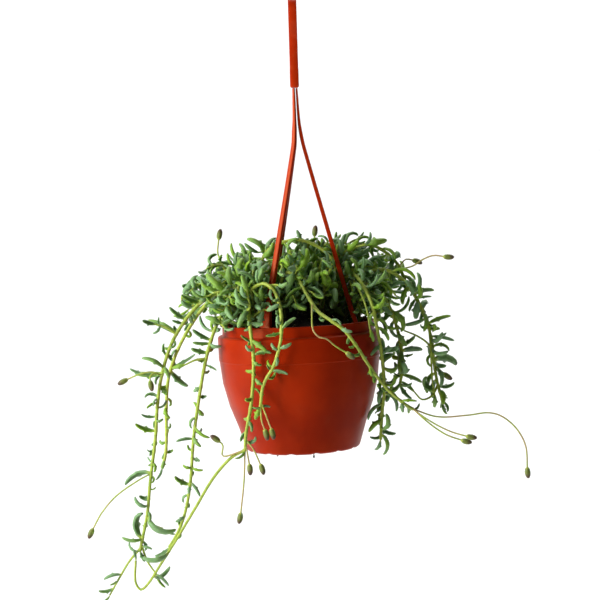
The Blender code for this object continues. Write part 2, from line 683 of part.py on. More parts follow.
def strand_points(angle):
    """A strand's middle line in the pot's frame, from the ferrule to its wedge over the lug."""
    ferrule = POT_INVERSE @ ferrule_end()
    start = Vector((ferrule.x, ferrule.y, ferrule.z - GAP))
    outward = polar(1.0, angle, 0.0)
    line = [start + outward * out - Vector((0, 0, drop)) for drop, out, _, _ in STRAND_STATIONS]
    wedge_top = polar(WEDGE_TOP_OUT, angle, WEDGE_TOP)
    return line + [line[-1].lerp(wedge_top, STRAIGHT_SHARE), wedge_top]


def ferrule_end():
    return Matrix.Rotation(STRAP_LEAN, 4, "Y") @ Vector((0, 0, FERRULE_BOTTOM))


def fill_hanger(space):
    """Marks the strands and the air in front of them, so that nothing grows there."""
    for name, angle in STRAND_ANGLES.items():
        line = [POT_FRAME @ point for point in strand_points(angle)]
        line.append(POT_FRAME @ polar(SLOT_CENTRE, angle, -6.0))
        for start, end in zip(line, line[1:]):
            steps = max(1, round((end - start).length / 3))
            for i in range(steps):
                point = start.lerp(end, i / steps)
                near_wedge = (POT_INVERSE @ point).z < WEDGE_TOP + 1
                space.add(point, 6.2 if near_wedge else 4.0, f"strand_{name}")
                if point.z > STRANDS_SHOW.get(name, 0.0):
                    for depth in range(6, SIGHT_DEPTH, 6):
                        space.add(point - Vector((0, depth, 0)), SIGHT_RADIUS, f"strand_{name}")


def keep_in_sight(space, stem):
    """Marks the air in front of a long stem, so that nothing hides it from the front."""
    for point in stem.shoots[0].line[STEMS_SHOW_FROM::2]:
        for depth in range(5, SIGHT_DEPTH, 4):
            space.add(point - Vector((0, depth, 0)), STEM_SIGHT_RADIUS, stem.name)


def grow_plant():
    """Every stem with its leaves, each clear of the pot, the hanger and the other stems."""
    space = Space()
    fill_hanger(space)
    stems = [long_stem(space, name, plan) for name, plan in LONG_STEMS.items()]
    for stem in stems:
        keep_in_sight(space, stem)
    stems += mound_stems(space)
    for number, stem in enumerate(stems):
        add_leaves(space, random.Random(SEED + number), stem)
    return stems


# Meshes


def clear_scene():
    for thing in list(bpy.data.objects):
        bpy.data.objects.remove(thing)


def material(name, colour, roughness, metallic=0.0):
    made = bpy.data.materials.new(name)
    made.use_nodes = True
    shader = made.node_tree.nodes["Principled BSDF"]
    shader.inputs["Base Color"].default_value = (*colour, 1.0)
    shader.inputs["Roughness"].default_value = roughness
    shader.inputs["Metallic"].default_value = metallic
    made.diffuse_color = (*colour, 1.0)
    return made


def new_object(name, work, frame=None):
    """A mesh object in metres from a bmesh in millimetres, which it frees."""
    if frame is not None:
        work.transform(frame)
    work.transform(Matrix.Scale(MM, 4))
    mesh = bpy.data.meshes.new(name)
    work.to_mesh(mesh)
    work.free()
    made = bpy.data.objects.new(name, mesh)
    bpy.context.scene.collection.objects.link(made)
    return made


def finish(thing, finish_material, smooth_angle=None):
    thing.data.materials.clear()
    thing.data.materials.append(finish_material)
    if smooth_angle is not None:
        thing.data.shade_smooth()
        thing.data.set_sharp_from_angle(angle=math.radians(smooth_angle))
    return thing


def turned(profile, sides):
    """A solid turned about Z from an open profile that runs from the axis to the axis, or a closed ring's."""
    work = bmesh.new()
    verts = [work.verts.new((radius, 0.0, height)) for radius, height in profile]
    closed = profile[0][0] > 0
    edges = [work.edges.new(pair) for pair in zip(verts, verts[1:])]
    if closed:
        edges.append(work.edges.new((verts[-1], verts[0])))
    bmesh.ops.spin(work, geom=verts + edges, cent=(0, 0, 0), axis=(0, 0, 1), angle=2 * math.pi, steps=sides,
                   use_merge=True, use_duplicate=False)
    bmesh.ops.remove_doubles(work, verts=work.verts, dist=0.001)
    bmesh.ops.recalc_face_normals(work, faces=work.faces)
    return work


def skin(rings, tip=None):
    """A closed solid through rings of points, with flat ends or a pointed tip."""
    work = bmesh.new()
    loops = [[work.verts.new(point) for point in ring] for ring in rings]
    for lower, upper in zip(loops, loops[1:]):
        for i in range(len(lower)):
            j = (i + 1) % len(lower)
            work.faces.new((lower[i], lower[j], upper[j], upper[i]))
    work.faces.new(list(reversed(loops[0])))
    if tip is None:
        work.faces.new(loops[-1])
    else:
        point = work.verts.new(tip)
        for i in range(len(loops[-1])):
            work.faces.new((loops[-1][i], loops[-1][(i + 1) % len(loops[-1])], point))
    bmesh.ops.triangulate(work, faces=work.faces)
    bmesh.ops.recalc_face_normals(work, faces=work.faces)
    return work


def rectangle(centre, one, other, one_size, other_size):
    """Corners of a rectangle that lies across a strap or a strand."""
    return [centre + one * (a * one_size / 2) + other * (b * other_size / 2)
            for a, b in ((-1, -1), (1, -1), (1, 1), (-1, 1))]


def ring_round(centre, side, across, radius, sides):
    turn = 2 * math.pi / sides
    return [centre + (side * math.cos(i * turn) + across * math.sin(i * turn)) * radius for i in range(sides)]


def combine(thing, operation, others, solver="EXACT"):
    """Joins or cuts with several objects at once, applies it and removes them."""
    group = bpy.data.collections.new(f"{thing.name}_{operation.lower()}")
    bpy.context.scene.collection.children.link(group)
    for other in others:
        group.objects.link(other)
    step = thing.modifiers.new(operation.lower(), "BOOLEAN")
    step.operation = operation
    step.operand_type = "COLLECTION"
    step.collection = group
    step.solver = solver
    evaluated = thing.evaluated_get(bpy.context.evaluated_depsgraph_get())
    result = bpy.data.meshes.new_from_object(evaluated)
    thing.modifiers.clear()
    thing.data = result
    for other in others:
        bpy.data.objects.remove(other)
    bpy.data.collections.remove(group)
    return thing


def largest_body(thing):
    """Drops loose scraps and sealed hollows, so that one closed body is left."""
    work = bmesh.new()
    work.from_mesh(thing.data)
    unseen = set(work.verts)
    bodies = []
    while unseen:
        body = {unseen.pop()}
        front = list(body)
        while front:
            vert = front.pop()
            for edge in vert.link_edges:
                other = edge.other_vert(vert)
                if other not in body:
                    body.add(other)
                    front.append(other)
        unseen -= body
        bodies.append(body)
    keep = max(bodies, key=len)
    bmesh.ops.delete(work, geom=[vert for vert in work.verts if vert not in keep], context="VERTS")
    work.to_mesh(thing.data)
    work.free()
    return thing


# The pot


def wall_inside(inset):
    """The wall's inner side below the shoulder, or a line that lies further in."""
    levels = (-32.6, -54.0, -75.4, -112.0)
    return [(outer_radius(level) - POT_WALL - inset, level) for level in levels]


def pot_profile():
    return (
        [(0.0, FLOOR_UNDERSIDE), (FOOT_INSIDE - 1, FLOOR_UNDERSIDE), (FOOT_INSIDE, -POT_HEIGHT)]
        + list(reversed(OUTSIDE))
        + [(COLLAR_INSIDE, -0.4), (COLLAR_INSIDE, -COLLAR_HEIGHT), (OUTSIDE[5][0] - POT_WALL, -12.8)]
        + wall_inside(0.0)
        + [(49.8, FLOOR_UNDERSIDE + POT_WALL), (0.0, FLOOR_UNDERSIDE + POT_WALL)]
    )


def upright_box(centre, angle, radial, tangential, height):
    """A box in the pot's frame whose sides face the axis."""
    outward = polar(1.0, angle, 0.0)
    along = polar(1.0, angle + math.pi / 2, 0.0)
    rings = [rectangle(centre + Vector((0, 0, z)), outward, along, radial, tangential)
             for z in (-height / 2, height / 2)]
    return skin(rings)


def lug_height():
    return LUG_TOP - LUG_THICKNESS / 2


def make_pot(finish_material):
    pot = new_object("pot", turned(pot_profile(), POT_SIDES), POT_FRAME)
    lugs = []
    slots = []
    for name, angle in STRAND_ANGLES.items():
        middle = polar((LUG_INSIDE + LUG_SUNK) / 2, angle, lug_height())
        block = upright_box(middle, angle, LUG_SUNK - LUG_INSIDE, LUG_WIDTH, LUG_THICKNESS)
        lugs.append(new_object(f"lug_{name}", block, POT_FRAME))
        slot = upright_box(polar(SLOT_CENTRE, angle, lug_height()), angle, SLOT_DEPTH, SLOT_WIDTH, 3 * LUG_THICKNESS)
        slots.append(new_object(f"slot_{name}", slot, POT_FRAME))
    combine(pot, "UNION", lugs)
    for i in range(DRAIN_HOLES):
        angle = 2 * math.pi * i / DRAIN_HOLES
        work = bmesh.new()
        bmesh.ops.create_cone(work, cap_ends=True, segments=12, radius1=DRAIN_RADIUS, radius2=DRAIN_RADIUS,
                              depth=6 * POT_WALL)
        work.transform(Matrix.Translation(polar(DRAIN_CIRCLE, angle, FLOOR_UNDERSIDE)))
        slots.append(new_object(f"drain_{i}", work, POT_FRAME))
    combine(pot, "DIFFERENCE", slots)
    return finish(largest_body(pot), finish_material, 35)


# The soil


def soil_profile():
    wall = list(reversed(wall_inside(GAP + 0.25)))
    rows = [0.0, 0.3, 0.55, 0.74, 0.95]
    crown = [(share * COLLAR_INSIDE, soil_height(share * COLLAR_INSIDE)) for share in reversed(rows)]
    floor = FLOOR_UNDERSIDE + POT_WALL + GAP
    return [(0.0, floor), (48.9, floor)] + wall + [(72.4, -14.6), (70.4, -13.6)] + crown


def make_soil(stems, finish_material):
    shrink = math.cos(math.pi / POT_SIDES)
    profile = [(radius * shrink, height) for radius, height in soil_profile()]
    soil = new_object("soil", turned(profile, SOIL_SIDES), POT_FRAME)
    holes = []
    for stem in stems:
        top = soil_height(math.hypot(*stem.hole))
        work = bmesh.new()
        bmesh.ops.create_cone(work, cap_ends=True, segments=6, radius1=HOLE_RADIUS, radius2=HOLE_RADIUS,
                              depth=2 * HOLE_DEPTH)
        work.transform(Matrix.Translation((*stem.hole, top - GAP)))
        holes.append(new_object(f"hole_{stem.name}", work, POT_FRAME))
    combine(soil, "DIFFERENCE", holes)
    return finish(largest_body(soil), finish_material)


# The hanger


def hook_stations():
    """The strap's middle line in the Y-Z plane with its direction, from the hook's tip to the ferrule."""
    radius = HOOK_INSIDE + STRAP_THICKNESS / 2
    stations = [(radius + 1.4, -HOOK_TIP_DROP), (radius + 0.2, -HOOK_INSIDE - 1.5)]
    for i in range(9):
        angle = math.pi * i / 8
        stations.append((radius * math.cos(angle), -HOOK_INSIDE + radius * math.sin(angle)))
    for i in range(6):
        share = i / 5
        ease = share * share * (3 - 2 * share)
        height = STRAP_BEND_TOP + share * (STRAP_BEND_BOTTOM - STRAP_BEND_TOP)
        stations.append((-radius * (1 - ease), height))
    stations.append((0.0, FERRULE_TOP))
    stations.append((0.0, FERRULE_TOP - 2.5))
    stations.append((0.0, FERRULE_BOTTOM + 1.4))
    stations.append((0.0, FERRULE_BOTTOM))
    return stations


def strap_size(height, last):
    """Thickness and width of the strap at a height, thicker in the ferrule that holds the strands."""
    if last:
        return FERRULE_THICKNESS - 0.6, STRAP_WIDTH - 2.2
    if height < FERRULE_TOP - 1:
        return FERRULE_THICKNESS, STRAP_WIDTH + 0.3
    return STRAP_THICKNESS, STRAP_WIDTH


def make_hook(finish_material):
    stations = hook_stations()
    line = [Vector((0.0, y, z)) for y, z in stations]
    rings = []
    for index, (point, tangent) in enumerate(zip(line, tangents_of(line))):
        beyond_hook = index > 10
        thickness, width = strap_size(point.z if beyond_hook else 0.0, index == len(line) - 1)
        through = Vector((1, 0, 0)).cross(tangent)
        rings.append(rectangle(point, Vector((1, 0, 0)), through, width, thickness))
    hook = new_object("hanger_hook", skin(rings), Matrix.Rotation(STRAP_LEAN, 4, "Y"))
    return finish(hook, finish_material, 40)


def make_strand(name, angle, finish_material):
    outward = polar(1.0, angle, 0.0)
    along = polar(1.0, angle + math.pi / 2, 0.0)
    line = strand_points(angle)
    sizes = [(thick, wide) for _, _, thick, wide in STRAND_STATIONS] + [STRAIGHT_SIZE, WEDGE_TOP_SIZE]
    rings = [rectangle(point, outward, along, *size) for point, size in zip(line, sizes)]
    shoulder = LUG_TOP + GAP
    barb_top = LUG_TOP - LUG_THICKNESS - GAP
    for height, size in (
        (shoulder, WEDGE_BOTTOM_SIZE), (shoulder, NECK_SIZE), (barb_top, NECK_SIZE), (barb_top, BARB_SIZE),
        (barb_top - BARB_HEIGHT, NECK_SIZE),
    ):
        rings.append(rectangle(polar(SLOT_CENTRE, angle, height), outward, along, *size))
    strand = new_object(f"hanger_strand_{name}", skin(rings), POT_FRAME)
    return finish(strand, finish_material, 40)


# Stems, leaves and buds as solids


def ring_indices(shoot, rooted_in_soil):
    """Points of the line that get a ring: one over the hole in the soil, closer together where it bends."""
    indices = [0, OUT_OF_SOIL] if rooted_in_soil else [0]
    for i in range(indices[-1] + 1, len(shoot.line) - 1):
        turn = shoot.tangents[i].angle(shoot.tangents[indices[-1]], 0.0)
        if turn > RING_TURN or (i - indices[-1]) * LINE_STEP > RING_LONGEST:
            indices.append(i)
    indices.append(len(shoot.line) - 1)
    return indices


def shoot_object(shoot, name, sides, rooted_in_soil):
    rings = []
    for index in ring_indices(shoot, rooted_in_soil):
        side = shoot.sides[index]
        across = shoot.tangents[index].cross(side)
        rings.append(ring_round(shoot.line[index], side, across, shoot.radius_at(index), sides))
    return new_object(name, skin(rings))


def leaf_object(leaf, name):
    """A three-sided blade: a flat underside with a fin at either edge, and a rounded back."""
    scale = leaf.width
    rings = []
    for share, half_width, half_height, fin in LEAF_SECTIONS:
        point, back = leaf.place(share)
        forward = leaf.side.cross(back)
        left = half_width + (fin if leaf.fins != "right" else 0.0)
        right = half_width + (fin if leaf.fins != "left" else 0.0)
        rings.append([
            point - leaf.side * left * scale - back * half_height * 0.4 * scale - forward * 0.3 * fin * scale,
            point + leaf.side * right * scale - back * half_height * 0.4 * scale - forward * 0.3 * fin * scale,
            point + back * half_height * scale,
        ])
    return new_object(name, skin(rings, leaf.place(1.0)[0]))


def bud_object(shoot, name):
    tip = shoot.tangents[-1]
    side = shoot.sides[-1]
    across = tip.cross(side)
    start = shoot.line[-1] - tip * 0.8
    rings = [ring_round(start + tip * (share * BUD_LENGTH), side, across, radius, BUD_SIDES)
             for share, radius in BUD_SECTIONS]
    return new_object(name, skin(rings))


def stem_pieces(stem):
    pieces = []
    main_sides = 3 if stem.name.startswith("stem_mound") else 4
    for number, shoot in enumerate(stem.shoots):
        sides = main_sides if number == 0 else 3
        pieces.append(shoot_object(shoot, f"{stem.name}_shoot_{number}", sides, number == 0))
        if shoot.ending == "bud":
            pieces.append(bud_object(shoot, f"{stem.name}_bud_{number}"))
    for number, leaf in enumerate(stem.leaves):
        pieces.append(leaf_object(leaf, f"{stem.name}_leaf_{number}"))
    return pieces


def is_closed(mesh):
    work = bmesh.new()
    work.from_mesh(mesh)
    closed = all(edge.is_manifold for edge in work.edges)
    work.free()
    return closed


def thin_out(thing, ratio):
    """Takes out the points that fusing leaves in flat places."""
    step = thing.modifiers.new("thin_out", "DECIMATE")
    step.ratio = ratio
    step.use_collapse_triangulate = True
    evaluated = thing.evaluated_get(bpy.context.evaluated_depsgraph_get())
    thinned = bpy.data.meshes.new_from_object(evaluated)
    thing.modifiers.clear()
    thing.data = thinned


def make_stem(stem, finish_material):
    """Fuses a stem with its branches, leaves and buds."""
    for solver in ("EXACT", "MANIFOLD"):
        pieces = stem_pieces(stem)
        body = pieces[0]
        combine(body, "UNION", pieces[1:], solver)
        if is_closed(body.data):
            break
        bpy.data.objects.remove(body)
    body.name = stem.name
    thin_out(body, FACES_KEPT)
    return finish(largest_body(body), finish_material)


def build():
    clear_scene()
    terracotta = material("pot_plastic", (0.47, 0.07, 0.02), 0.42)
    orange = material("hanger_plastic", (0.55, 0.09, 0.03), 0.4)
    earth = material("soil_mix", (0.02, 0.014, 0.01), 0.95)
    green = material("foliage", (0.12, 0.22, 0.06), 0.5)
    stems = grow_plant()
    make_pot(terracotta)
    make_soil(stems, earth)
    make_hook(orange)
    for name, angle in STRAND_ANGLES.items():
        make_strand(name, angle, orange)
    for stem in stems:
        make_stem(stem, green)


build()
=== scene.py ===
"""Looks of a potted string of dolphins on a plastic hanger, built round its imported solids.

Sizes are in millimetres and become metres when a mesh is made. The pot hangs a little askew,
so it has a frame of its own: zero at the middle of its rim, Z up along its axis.
"""

import math
import random

import bmesh
import bpy
from mathutils import Matrix, Vector, noise


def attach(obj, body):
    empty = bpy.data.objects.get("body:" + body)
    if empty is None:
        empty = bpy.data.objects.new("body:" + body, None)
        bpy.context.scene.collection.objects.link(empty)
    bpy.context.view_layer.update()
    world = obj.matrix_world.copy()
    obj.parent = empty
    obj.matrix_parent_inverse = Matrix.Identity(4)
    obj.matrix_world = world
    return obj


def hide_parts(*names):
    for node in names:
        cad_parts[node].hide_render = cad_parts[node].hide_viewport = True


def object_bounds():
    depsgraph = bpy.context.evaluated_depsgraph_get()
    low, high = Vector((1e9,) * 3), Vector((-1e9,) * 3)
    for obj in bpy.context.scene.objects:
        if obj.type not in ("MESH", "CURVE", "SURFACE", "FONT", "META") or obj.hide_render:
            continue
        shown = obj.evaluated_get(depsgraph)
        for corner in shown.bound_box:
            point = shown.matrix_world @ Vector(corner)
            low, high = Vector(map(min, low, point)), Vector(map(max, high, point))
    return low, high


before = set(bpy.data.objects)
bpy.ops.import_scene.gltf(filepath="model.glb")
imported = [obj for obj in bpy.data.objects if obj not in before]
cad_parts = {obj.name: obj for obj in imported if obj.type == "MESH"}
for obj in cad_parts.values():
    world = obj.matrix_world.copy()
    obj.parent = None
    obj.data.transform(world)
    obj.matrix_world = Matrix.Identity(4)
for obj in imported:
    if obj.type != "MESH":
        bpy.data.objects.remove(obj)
solids_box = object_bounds()

# The pot: one injection moulding in terracotta-coloured polypropylene. It has a narrow collar, a step
# where pots nest into each other, a lug under the rim for each strand, and drain holes in its floor.
MM = 0.001
RIM_CENTRE = (5.5, 0.0, -297.3)
POT_TILT = math.radians(-2.5)
POT_FRAME = Matrix.Translation(RIM_CENTRE) @ Matrix.Rotation(POT_TILT, 4, "Y")
POT_INVERSE = POT_FRAME.inverted()
POT_UP = (POT_FRAME.to_3x3() @ Vector((0, 0, 1))).normalized()
POT_HEIGHT = 118.0
POT_WALL = 1.8
POT_SIDES = 144
OUTSIDE = (
    (69.1, 0.0), (70.4, 0.0), (70.9, -0.7), (71.0, -9.4), (74.6, -10.4), (75.4, -11.6),
    (75.3, -32.6), (74.8, -33.4), (72.5, -54.0), (67.2, -75.4), (59.7, -95.8),
    (54.2, -113.5), (53.1, -116.6), (51.2, -POT_HEIGHT),
)
CORNER_CUT = 0.5
CORNER_STEPS = 4
PLAIN_TURN = math.radians(8)
COLLAR_HEIGHT = 10.6
COLLAR_INSIDE = 68.7
COLLAR_LIP = -0.4
SHOULDER_INSIDE = -12.8
WALL_LEVELS = (-32.6, -54.0, -75.4, -112.0)
FLOOR_UNDERSIDE = -115.8
FLOOR_RADIUS = 49.8
FOOT_INSIDE = 46.5
FOOT_NOTCHES = 14
FOOT_NOTCH_DEPTH = 0.9
FOOT_NOTCH_FROM = 0.55
DRAIN_HOLES = 5
DRAIN_RADIUS = 4.0
DRAIN_CIRCLE = 30.0
STRAND_ANGLES = {"front": math.radians(-123), "back": math.radians(120), "right": math.radians(-3)}
SLOT_CENTRE = 54.0
SLOT_DEPTH = 3.2
SLOT_WIDTH = 7.8
LUG_TOP = -3.0
LUG_THICKNESS = 2.9
LUG_WIDTH = 17.0
LUG_INSIDE = 49.5
LUG_SUNK = 70.0


def outer_radius(height):
    """Radius of the pot's outside at a height in its own frame, below the rim."""
    for (upper_radius, upper), (lower_radius, lower) in zip(OUTSIDE, OUTSIDE[1:]):
        if lower <= height < upper:
            share = (upper - height) / (upper - lower)
            return upper_radius + share * (lower_radius - upper_radius)
    return OUTSIDE[-1][0]


def polar(radius, angle, height):
    return Vector((radius * math.cos(angle), radius * math.sin(angle), height))


def linked(name, data):
    """A new object in the scene."""
    made = bpy.data.objects.new(name, data)
    bpy.context.scene.collection.objects.link(made)
    return made


def mesh_of(name, work):
    """A mesh from a bmesh, which it frees."""
    mesh = bpy.data.meshes.new(name)
    work.to_mesh(mesh)
    work.free()
    return mesh


def new_piece(name, work, place=Matrix()):
    """A mesh object in metres from a bmesh in millimetres."""
    work.transform(place)
    work.transform(Matrix.Scale(MM, 4))
    return linked(name, mesh_of(name, work))


def rounded(profile, cut):
    """The profile with its corners turned into short curves."""
    smooth = [Vector(profile[0])]
    for before, corner, after in zip(profile, profile[1:], profile[2:]):
        before, corner, after = Vector(before), Vector(corner), Vector(after)
        inward, outward = (before - corner), (after - corner)
        turn = math.pi - inward.angle(outward, math.pi)
        if turn < PLAIN_TURN:
            smooth.append(corner)
            continue
        start = corner + inward.normalized() * min(cut, inward.length * 0.45)
        end = corner + outward.normalized() * min(cut, outward.length * 0.45)
        for step in range(CORNER_STEPS):
            t = step / (CORNER_STEPS - 1)
            smooth.append(start * (1 - t) ** 2 + corner * 2 * t * (1 - t) + end * t**2)
    smooth.append(Vector(profile[-1]))
    return smooth


def turned(profile, sides):
    """A solid turned about Z from a profile that runs from the axis back to the axis."""
    work = bmesh.new()
    first, last = (work.verts.new((0.0, 0.0, height)) for _, height in (profile[0], profile[-1]))
    rings = [[work.verts.new(polar(radius, 2 * math.pi * i / sides, height)) for i in range(sides)]
             for radius, height in profile[1:-1]]
    for i in range(sides):
        j = (i + 1) % sides
        work.faces.new((first, rings[0][j], rings[0][i]))
        for lower, upper in zip(rings, rings[1:]):
            work.faces.new((lower[i], lower[j], upper[j], upper[i]))
        work.faces.new((last, rings[-1][i], rings[-1][j]))
    bmesh.ops.recalc_face_normals(work, faces=work.faces)
    return work


def wall_inside(inset):
    """The wall's inner side below the shoulder, or a line that lies further in."""
    return [(outer_radius(level) - POT_WALL - inset, level) for level in WALL_LEVELS]


def pot_profile():
    """Half the pot's section, from the axis outwards under the floor and back to the axis over it."""
    floor = FLOOR_UNDERSIDE + POT_WALL
    return [
        (0.0, FLOOR_UNDERSIDE), (FOOT_INSIDE - 1, FLOOR_UNDERSIDE), (FOOT_INSIDE, -POT_HEIGHT),
        *reversed(OUTSIDE), (COLLAR_INSIDE, COLLAR_LIP), (COLLAR_INSIDE, -COLLAR_HEIGHT),
        (OUTSIDE[5][0] - POT_WALL, SHOULDER_INSIDE), *wall_inside(0.0), (FLOOR_RADIUS, floor), (0.0, floor),
    ]


def rectangle(centre, one, other, one_size, other_size):
    """Corners of a rectangle that lies across a strap, a strand or a lug."""
    return [centre + one * (a * one_size / 2) + other * (b * other_size / 2)
            for a, b in ((-1, -1), (1, -1), (1, 1), (-1, 1))]


def lofted(rings):
    """A closed solid through rings of points, with flat ends."""
    work = bmesh.new()
    loops = [[work.verts.new(point) for point in ring] for ring in rings]
    for lower, upper in zip(loops, loops[1:]):
        for i in range(len(lower)):
            j = (i + 1) % len(lower)
            work.faces.new((lower[i], lower[j], upper[j], upper[i]))
    work.faces.new(list(reversed(loops[0])))
    work.faces.new(loops[-1])
    bmesh.ops.recalc_face_normals(work, faces=work.faces)
    return work


def upright_box(centre, angle, radial, tangential, height):
    """A box in the pot's frame whose sides face the axis."""
    outward = polar(1.0, angle, 0.0)
    along = polar(1.0, angle + math.pi / 2, 0.0)
    return lofted([rectangle(centre + Vector((0, 0, z)), outward, along, radial, tangential)
                   for z in (-height / 2, height / 2)])


def apply_steps(piece):
    """Makes the result of the piece's modifiers its plain mesh."""
    evaluated = piece.evaluated_get(bpy.context.evaluated_depsgraph_get())
    piece.data = bpy.data.meshes.new_from_object(evaluated)
    piece.modifiers.clear()


def combine(piece, operation, others):
    """Joins or cuts with several objects at once, and removes them."""
    group = bpy.data.collections.new("tools")
    for other in others:
        group.objects.link(other)
    step = piece.modifiers.new(operation.lower(), "BOOLEAN")
    step.operation = operation
    step.operand_type = "COLLECTION"
    step.collection = group
    apply_steps(piece)
    for other in others:
        bpy.data.objects.remove(other)
    bpy.data.collections.remove(group)


def soften(piece, width, angle):
    """Rounds the edges and shades the faces smoothly, up to an angle."""
    if width:
        step = piece.modifiers.new("soften", "BEVEL")
        step.width = width * MM
        step.segments = 2
        step.limit_method = "ANGLE"
        step.angle_limit = math.radians(35)
        apply_steps(piece)
    piece.data.shade_smooth()
    piece.data.set_sharp_from_angle(angle=math.radians(angle))


def notch_foot(work):
    """Shallow notches round the foot ring, through which water runs off."""
    for vert in work.verts:
        radius = math.hypot(vert.co.x, vert.co.y)
        if vert.co.z < FLOOR_UNDERSIDE - 0.5 and radius > FOOT_INSIDE - 0.5:
            wave = math.cos(FOOT_NOTCHES * math.atan2(vert.co.y, vert.co.x))
            vert.co.z += FOOT_NOTCH_DEPTH * max(0.0, wave - FOOT_NOTCH_FROM) / (1 - FOOT_NOTCH_FROM)


def drain_place(number, height):
    return polar(DRAIN_CIRCLE, 2 * math.pi * number / DRAIN_HOLES, height)


pot_body = turned(rounded(pot_profile(), CORNER_CUT), POT_SIDES)
notch_foot(pot_body)
pot = new_piece("terracotta_pot", pot_body, POT_FRAME)
lug_middle = LUG_TOP - LUG_THICKNESS / 2
lugs, cutters = [], []
for strand, angle in STRAND_ANGLES.items():
    for kind, radius, size, boxes in (
        ("lug", (LUG_INSIDE + LUG_SUNK) / 2, (LUG_SUNK - LUG_INSIDE, LUG_WIDTH, LUG_THICKNESS), lugs),
        ("slot", SLOT_CENTRE, (SLOT_DEPTH, SLOT_WIDTH, 3 * LUG_THICKNESS), cutters),
    ):
        box = upright_box(polar(radius, angle, lug_middle), angle, *size)
        boxes.append(new_piece(f"{kind}_{strand}", box, POT_FRAME))
for number in range(DRAIN_HOLES):
    drain = bmesh.new()
    bmesh.ops.create_cone(drain, cap_ends=True, segments=32, radius1=DRAIN_RADIUS, radius2=DRAIN_RADIUS,
                          depth=6 * POT_WALL)
    drain.transform(Matrix.Translation(drain_place(number, FLOOR_UNDERSIDE)))
    cutters.append(new_piece(f"drain_{number}", drain, POT_FRAME))
combine(pot, "UNION", lugs)
combine(pot, "DIFFERENCE", cutters)
soften(pot, 0.0, 40)


class Value:
    """A socket of a node tree, which is used in sums like a number or a vector."""

    def __init__(self, tree, socket=None):
        self.tree = tree
        self.socket = socket

    def node(self, kind, inputs=None, output=0, **settings):
        """Adds a node: first its settings, then the values or links of its sockets."""
        made = self.tree.nodes.new(kind)
        for name, setting in settings.items():
            setattr(made, name, setting)
        for name, given in (inputs or {}).items():
            if isinstance(given, (Value, list)):
                for value in given if isinstance(given, list) else [given]:
                    self.tree.links.new(value.socket, made.inputs[name])
            else:
                made.inputs[name].default_value = given
        return Value(self.tree, None if output is None else made.outputs[output])

    def is_vector(self):
        return self.socket.type == "VECTOR"

    def sum(self, operation, first, second):
        vectors = [value for value in (first, second) if isinstance(value, Value) and value.is_vector()]
        if vectors and operation == "MULTIPLY":
            scale = second if first is vectors[0] else first
            return self.node("ShaderNodeVectorMath", {0: vectors[0], "Scale": scale}, operation="SCALE")
        kind = "ShaderNodeVectorMath" if vectors else "ShaderNodeMath"
        return self.node(kind, {0: first, 1: second}, operation=operation)

    def __add__(self, other):
        return self.sum("ADD", self, other)

    __radd__ = __add__

    def __sub__(self, other):
        return self.sum("SUBTRACT", self, other)

    def __rsub__(self, other):
        return self.sum("SUBTRACT", other, self)

    def __mul__(self, other):
        return self.sum("MULTIPLY", self, other)

    __rmul__ = __mul__

    def __truediv__(self, other):
        return self.sum("DIVIDE", self, other)

    def step(self, low, high):
        """Nought below low, one above high and a smooth rise between them."""
        return self.node("ShaderNodeMapRange", {"Value": self, "From Min": low, "From Max": high},
                         interpolation_type="SMOOTHSTEP")

    def blend(self, first, second):
        """The first colour where this value is nought, the second where it is one."""
        return self.node("ShaderNodeMix", {0: self, 6: first, 7: second}, 2, data_type="RGBA")


def start_material(name):
    """An empty material and the object's coordinates in it."""
    material = bpy.data.materials.new(name)
    material.use_nodes = True
    material.node_tree.nodes.clear()
    return material, Value(material.node_tree).node("ShaderNodeTexCoord", output=3)


def grain(where, scale, detail=3.0, roughness=0.55):
    return where.node("ShaderNodeTexNoise",
                      {"Vector": where, "Scale": scale, "Detail": detail, "Roughness": roughness})


def end_material(material, where, inputs, height=None, strength=0.3, distance=0.0003):
    """The shader with its inputs, a bump where one is given, and the output."""
    if height is not None:
        inputs["Normal"] = where.node("ShaderNodeBump",
                                      {"Height": height, "Strength": strength, "Distance": distance})
    where.node("ShaderNodeOutputMaterial", {"Surface": where.node("ShaderNodeBsdfPrincipled", inputs)}, None)
    return material


def paint(piece, material):
    """Gives the whole piece one material."""
    piece.data.materials.clear()
    piece.data.materials.append(material)


TERRACOTTA = (0.33, 0.017, 0.001, 1.0)
TERRACOTTA_DEEP = (0.25, 0.010, 0.001, 1.0)
LIME_DUST = (0.42, 0.10, 0.04, 1.0)
PLASTIC_SHEEN = (1.0, 0.6, 0.25, 1.0)
FADED_SHEEN = (1.0, 0.55, 0.28, 1.0)


def pot_plastic():
    """Satin plastic with faint cloudy patches, fine moulded grain, handling marks and a little lime dust."""
    material, where = start_material("pot_plastic_worn")
    clouds = grain(where, 22.0).step(0.35, 0.7)
    specks = grain(where, 900.0, 2.0).step(0.66, 0.74)
    patches = grain(where, 60.0, 5.0).step(0.5, 0.75)
    stretched = where.node("ShaderNodeMapping", {"Vector": where, "Scale": (90.0, 90.0, 9.0)})
    smears = where.node("ShaderNodeTexNoise", {"Vector": stretched, "Scale": 1.0, "Detail": 4.0})
    smears = smears.step(0.52, 0.72)
    colour = clouds.blend(TERRACOTTA, TERRACOTTA_DEEP)
    dusty = (specks * 0.35 + smears * 0.10) * patches
    colour = dusty.blend(colour, LIME_DUST)
    height = grain(where, 1500.0, 2.0) * 0.5 + grain(where, 260.0, 3.0) * 0.5
    return end_material(material, where, {
        "Base Color": colour,
        "Roughness": 0.38 + smears * 0.08 + patches * 0.05,
        "Specular IOR Level": 0.12,
        "Specular Tint": PLASTIC_SHEEN,
        "Sheen Weight": 0.15,
        "Sheen Roughness": 0.35,
        "Sheen Tint": FADED_SHEEN,
    }, height, 0.18, 0.0002)


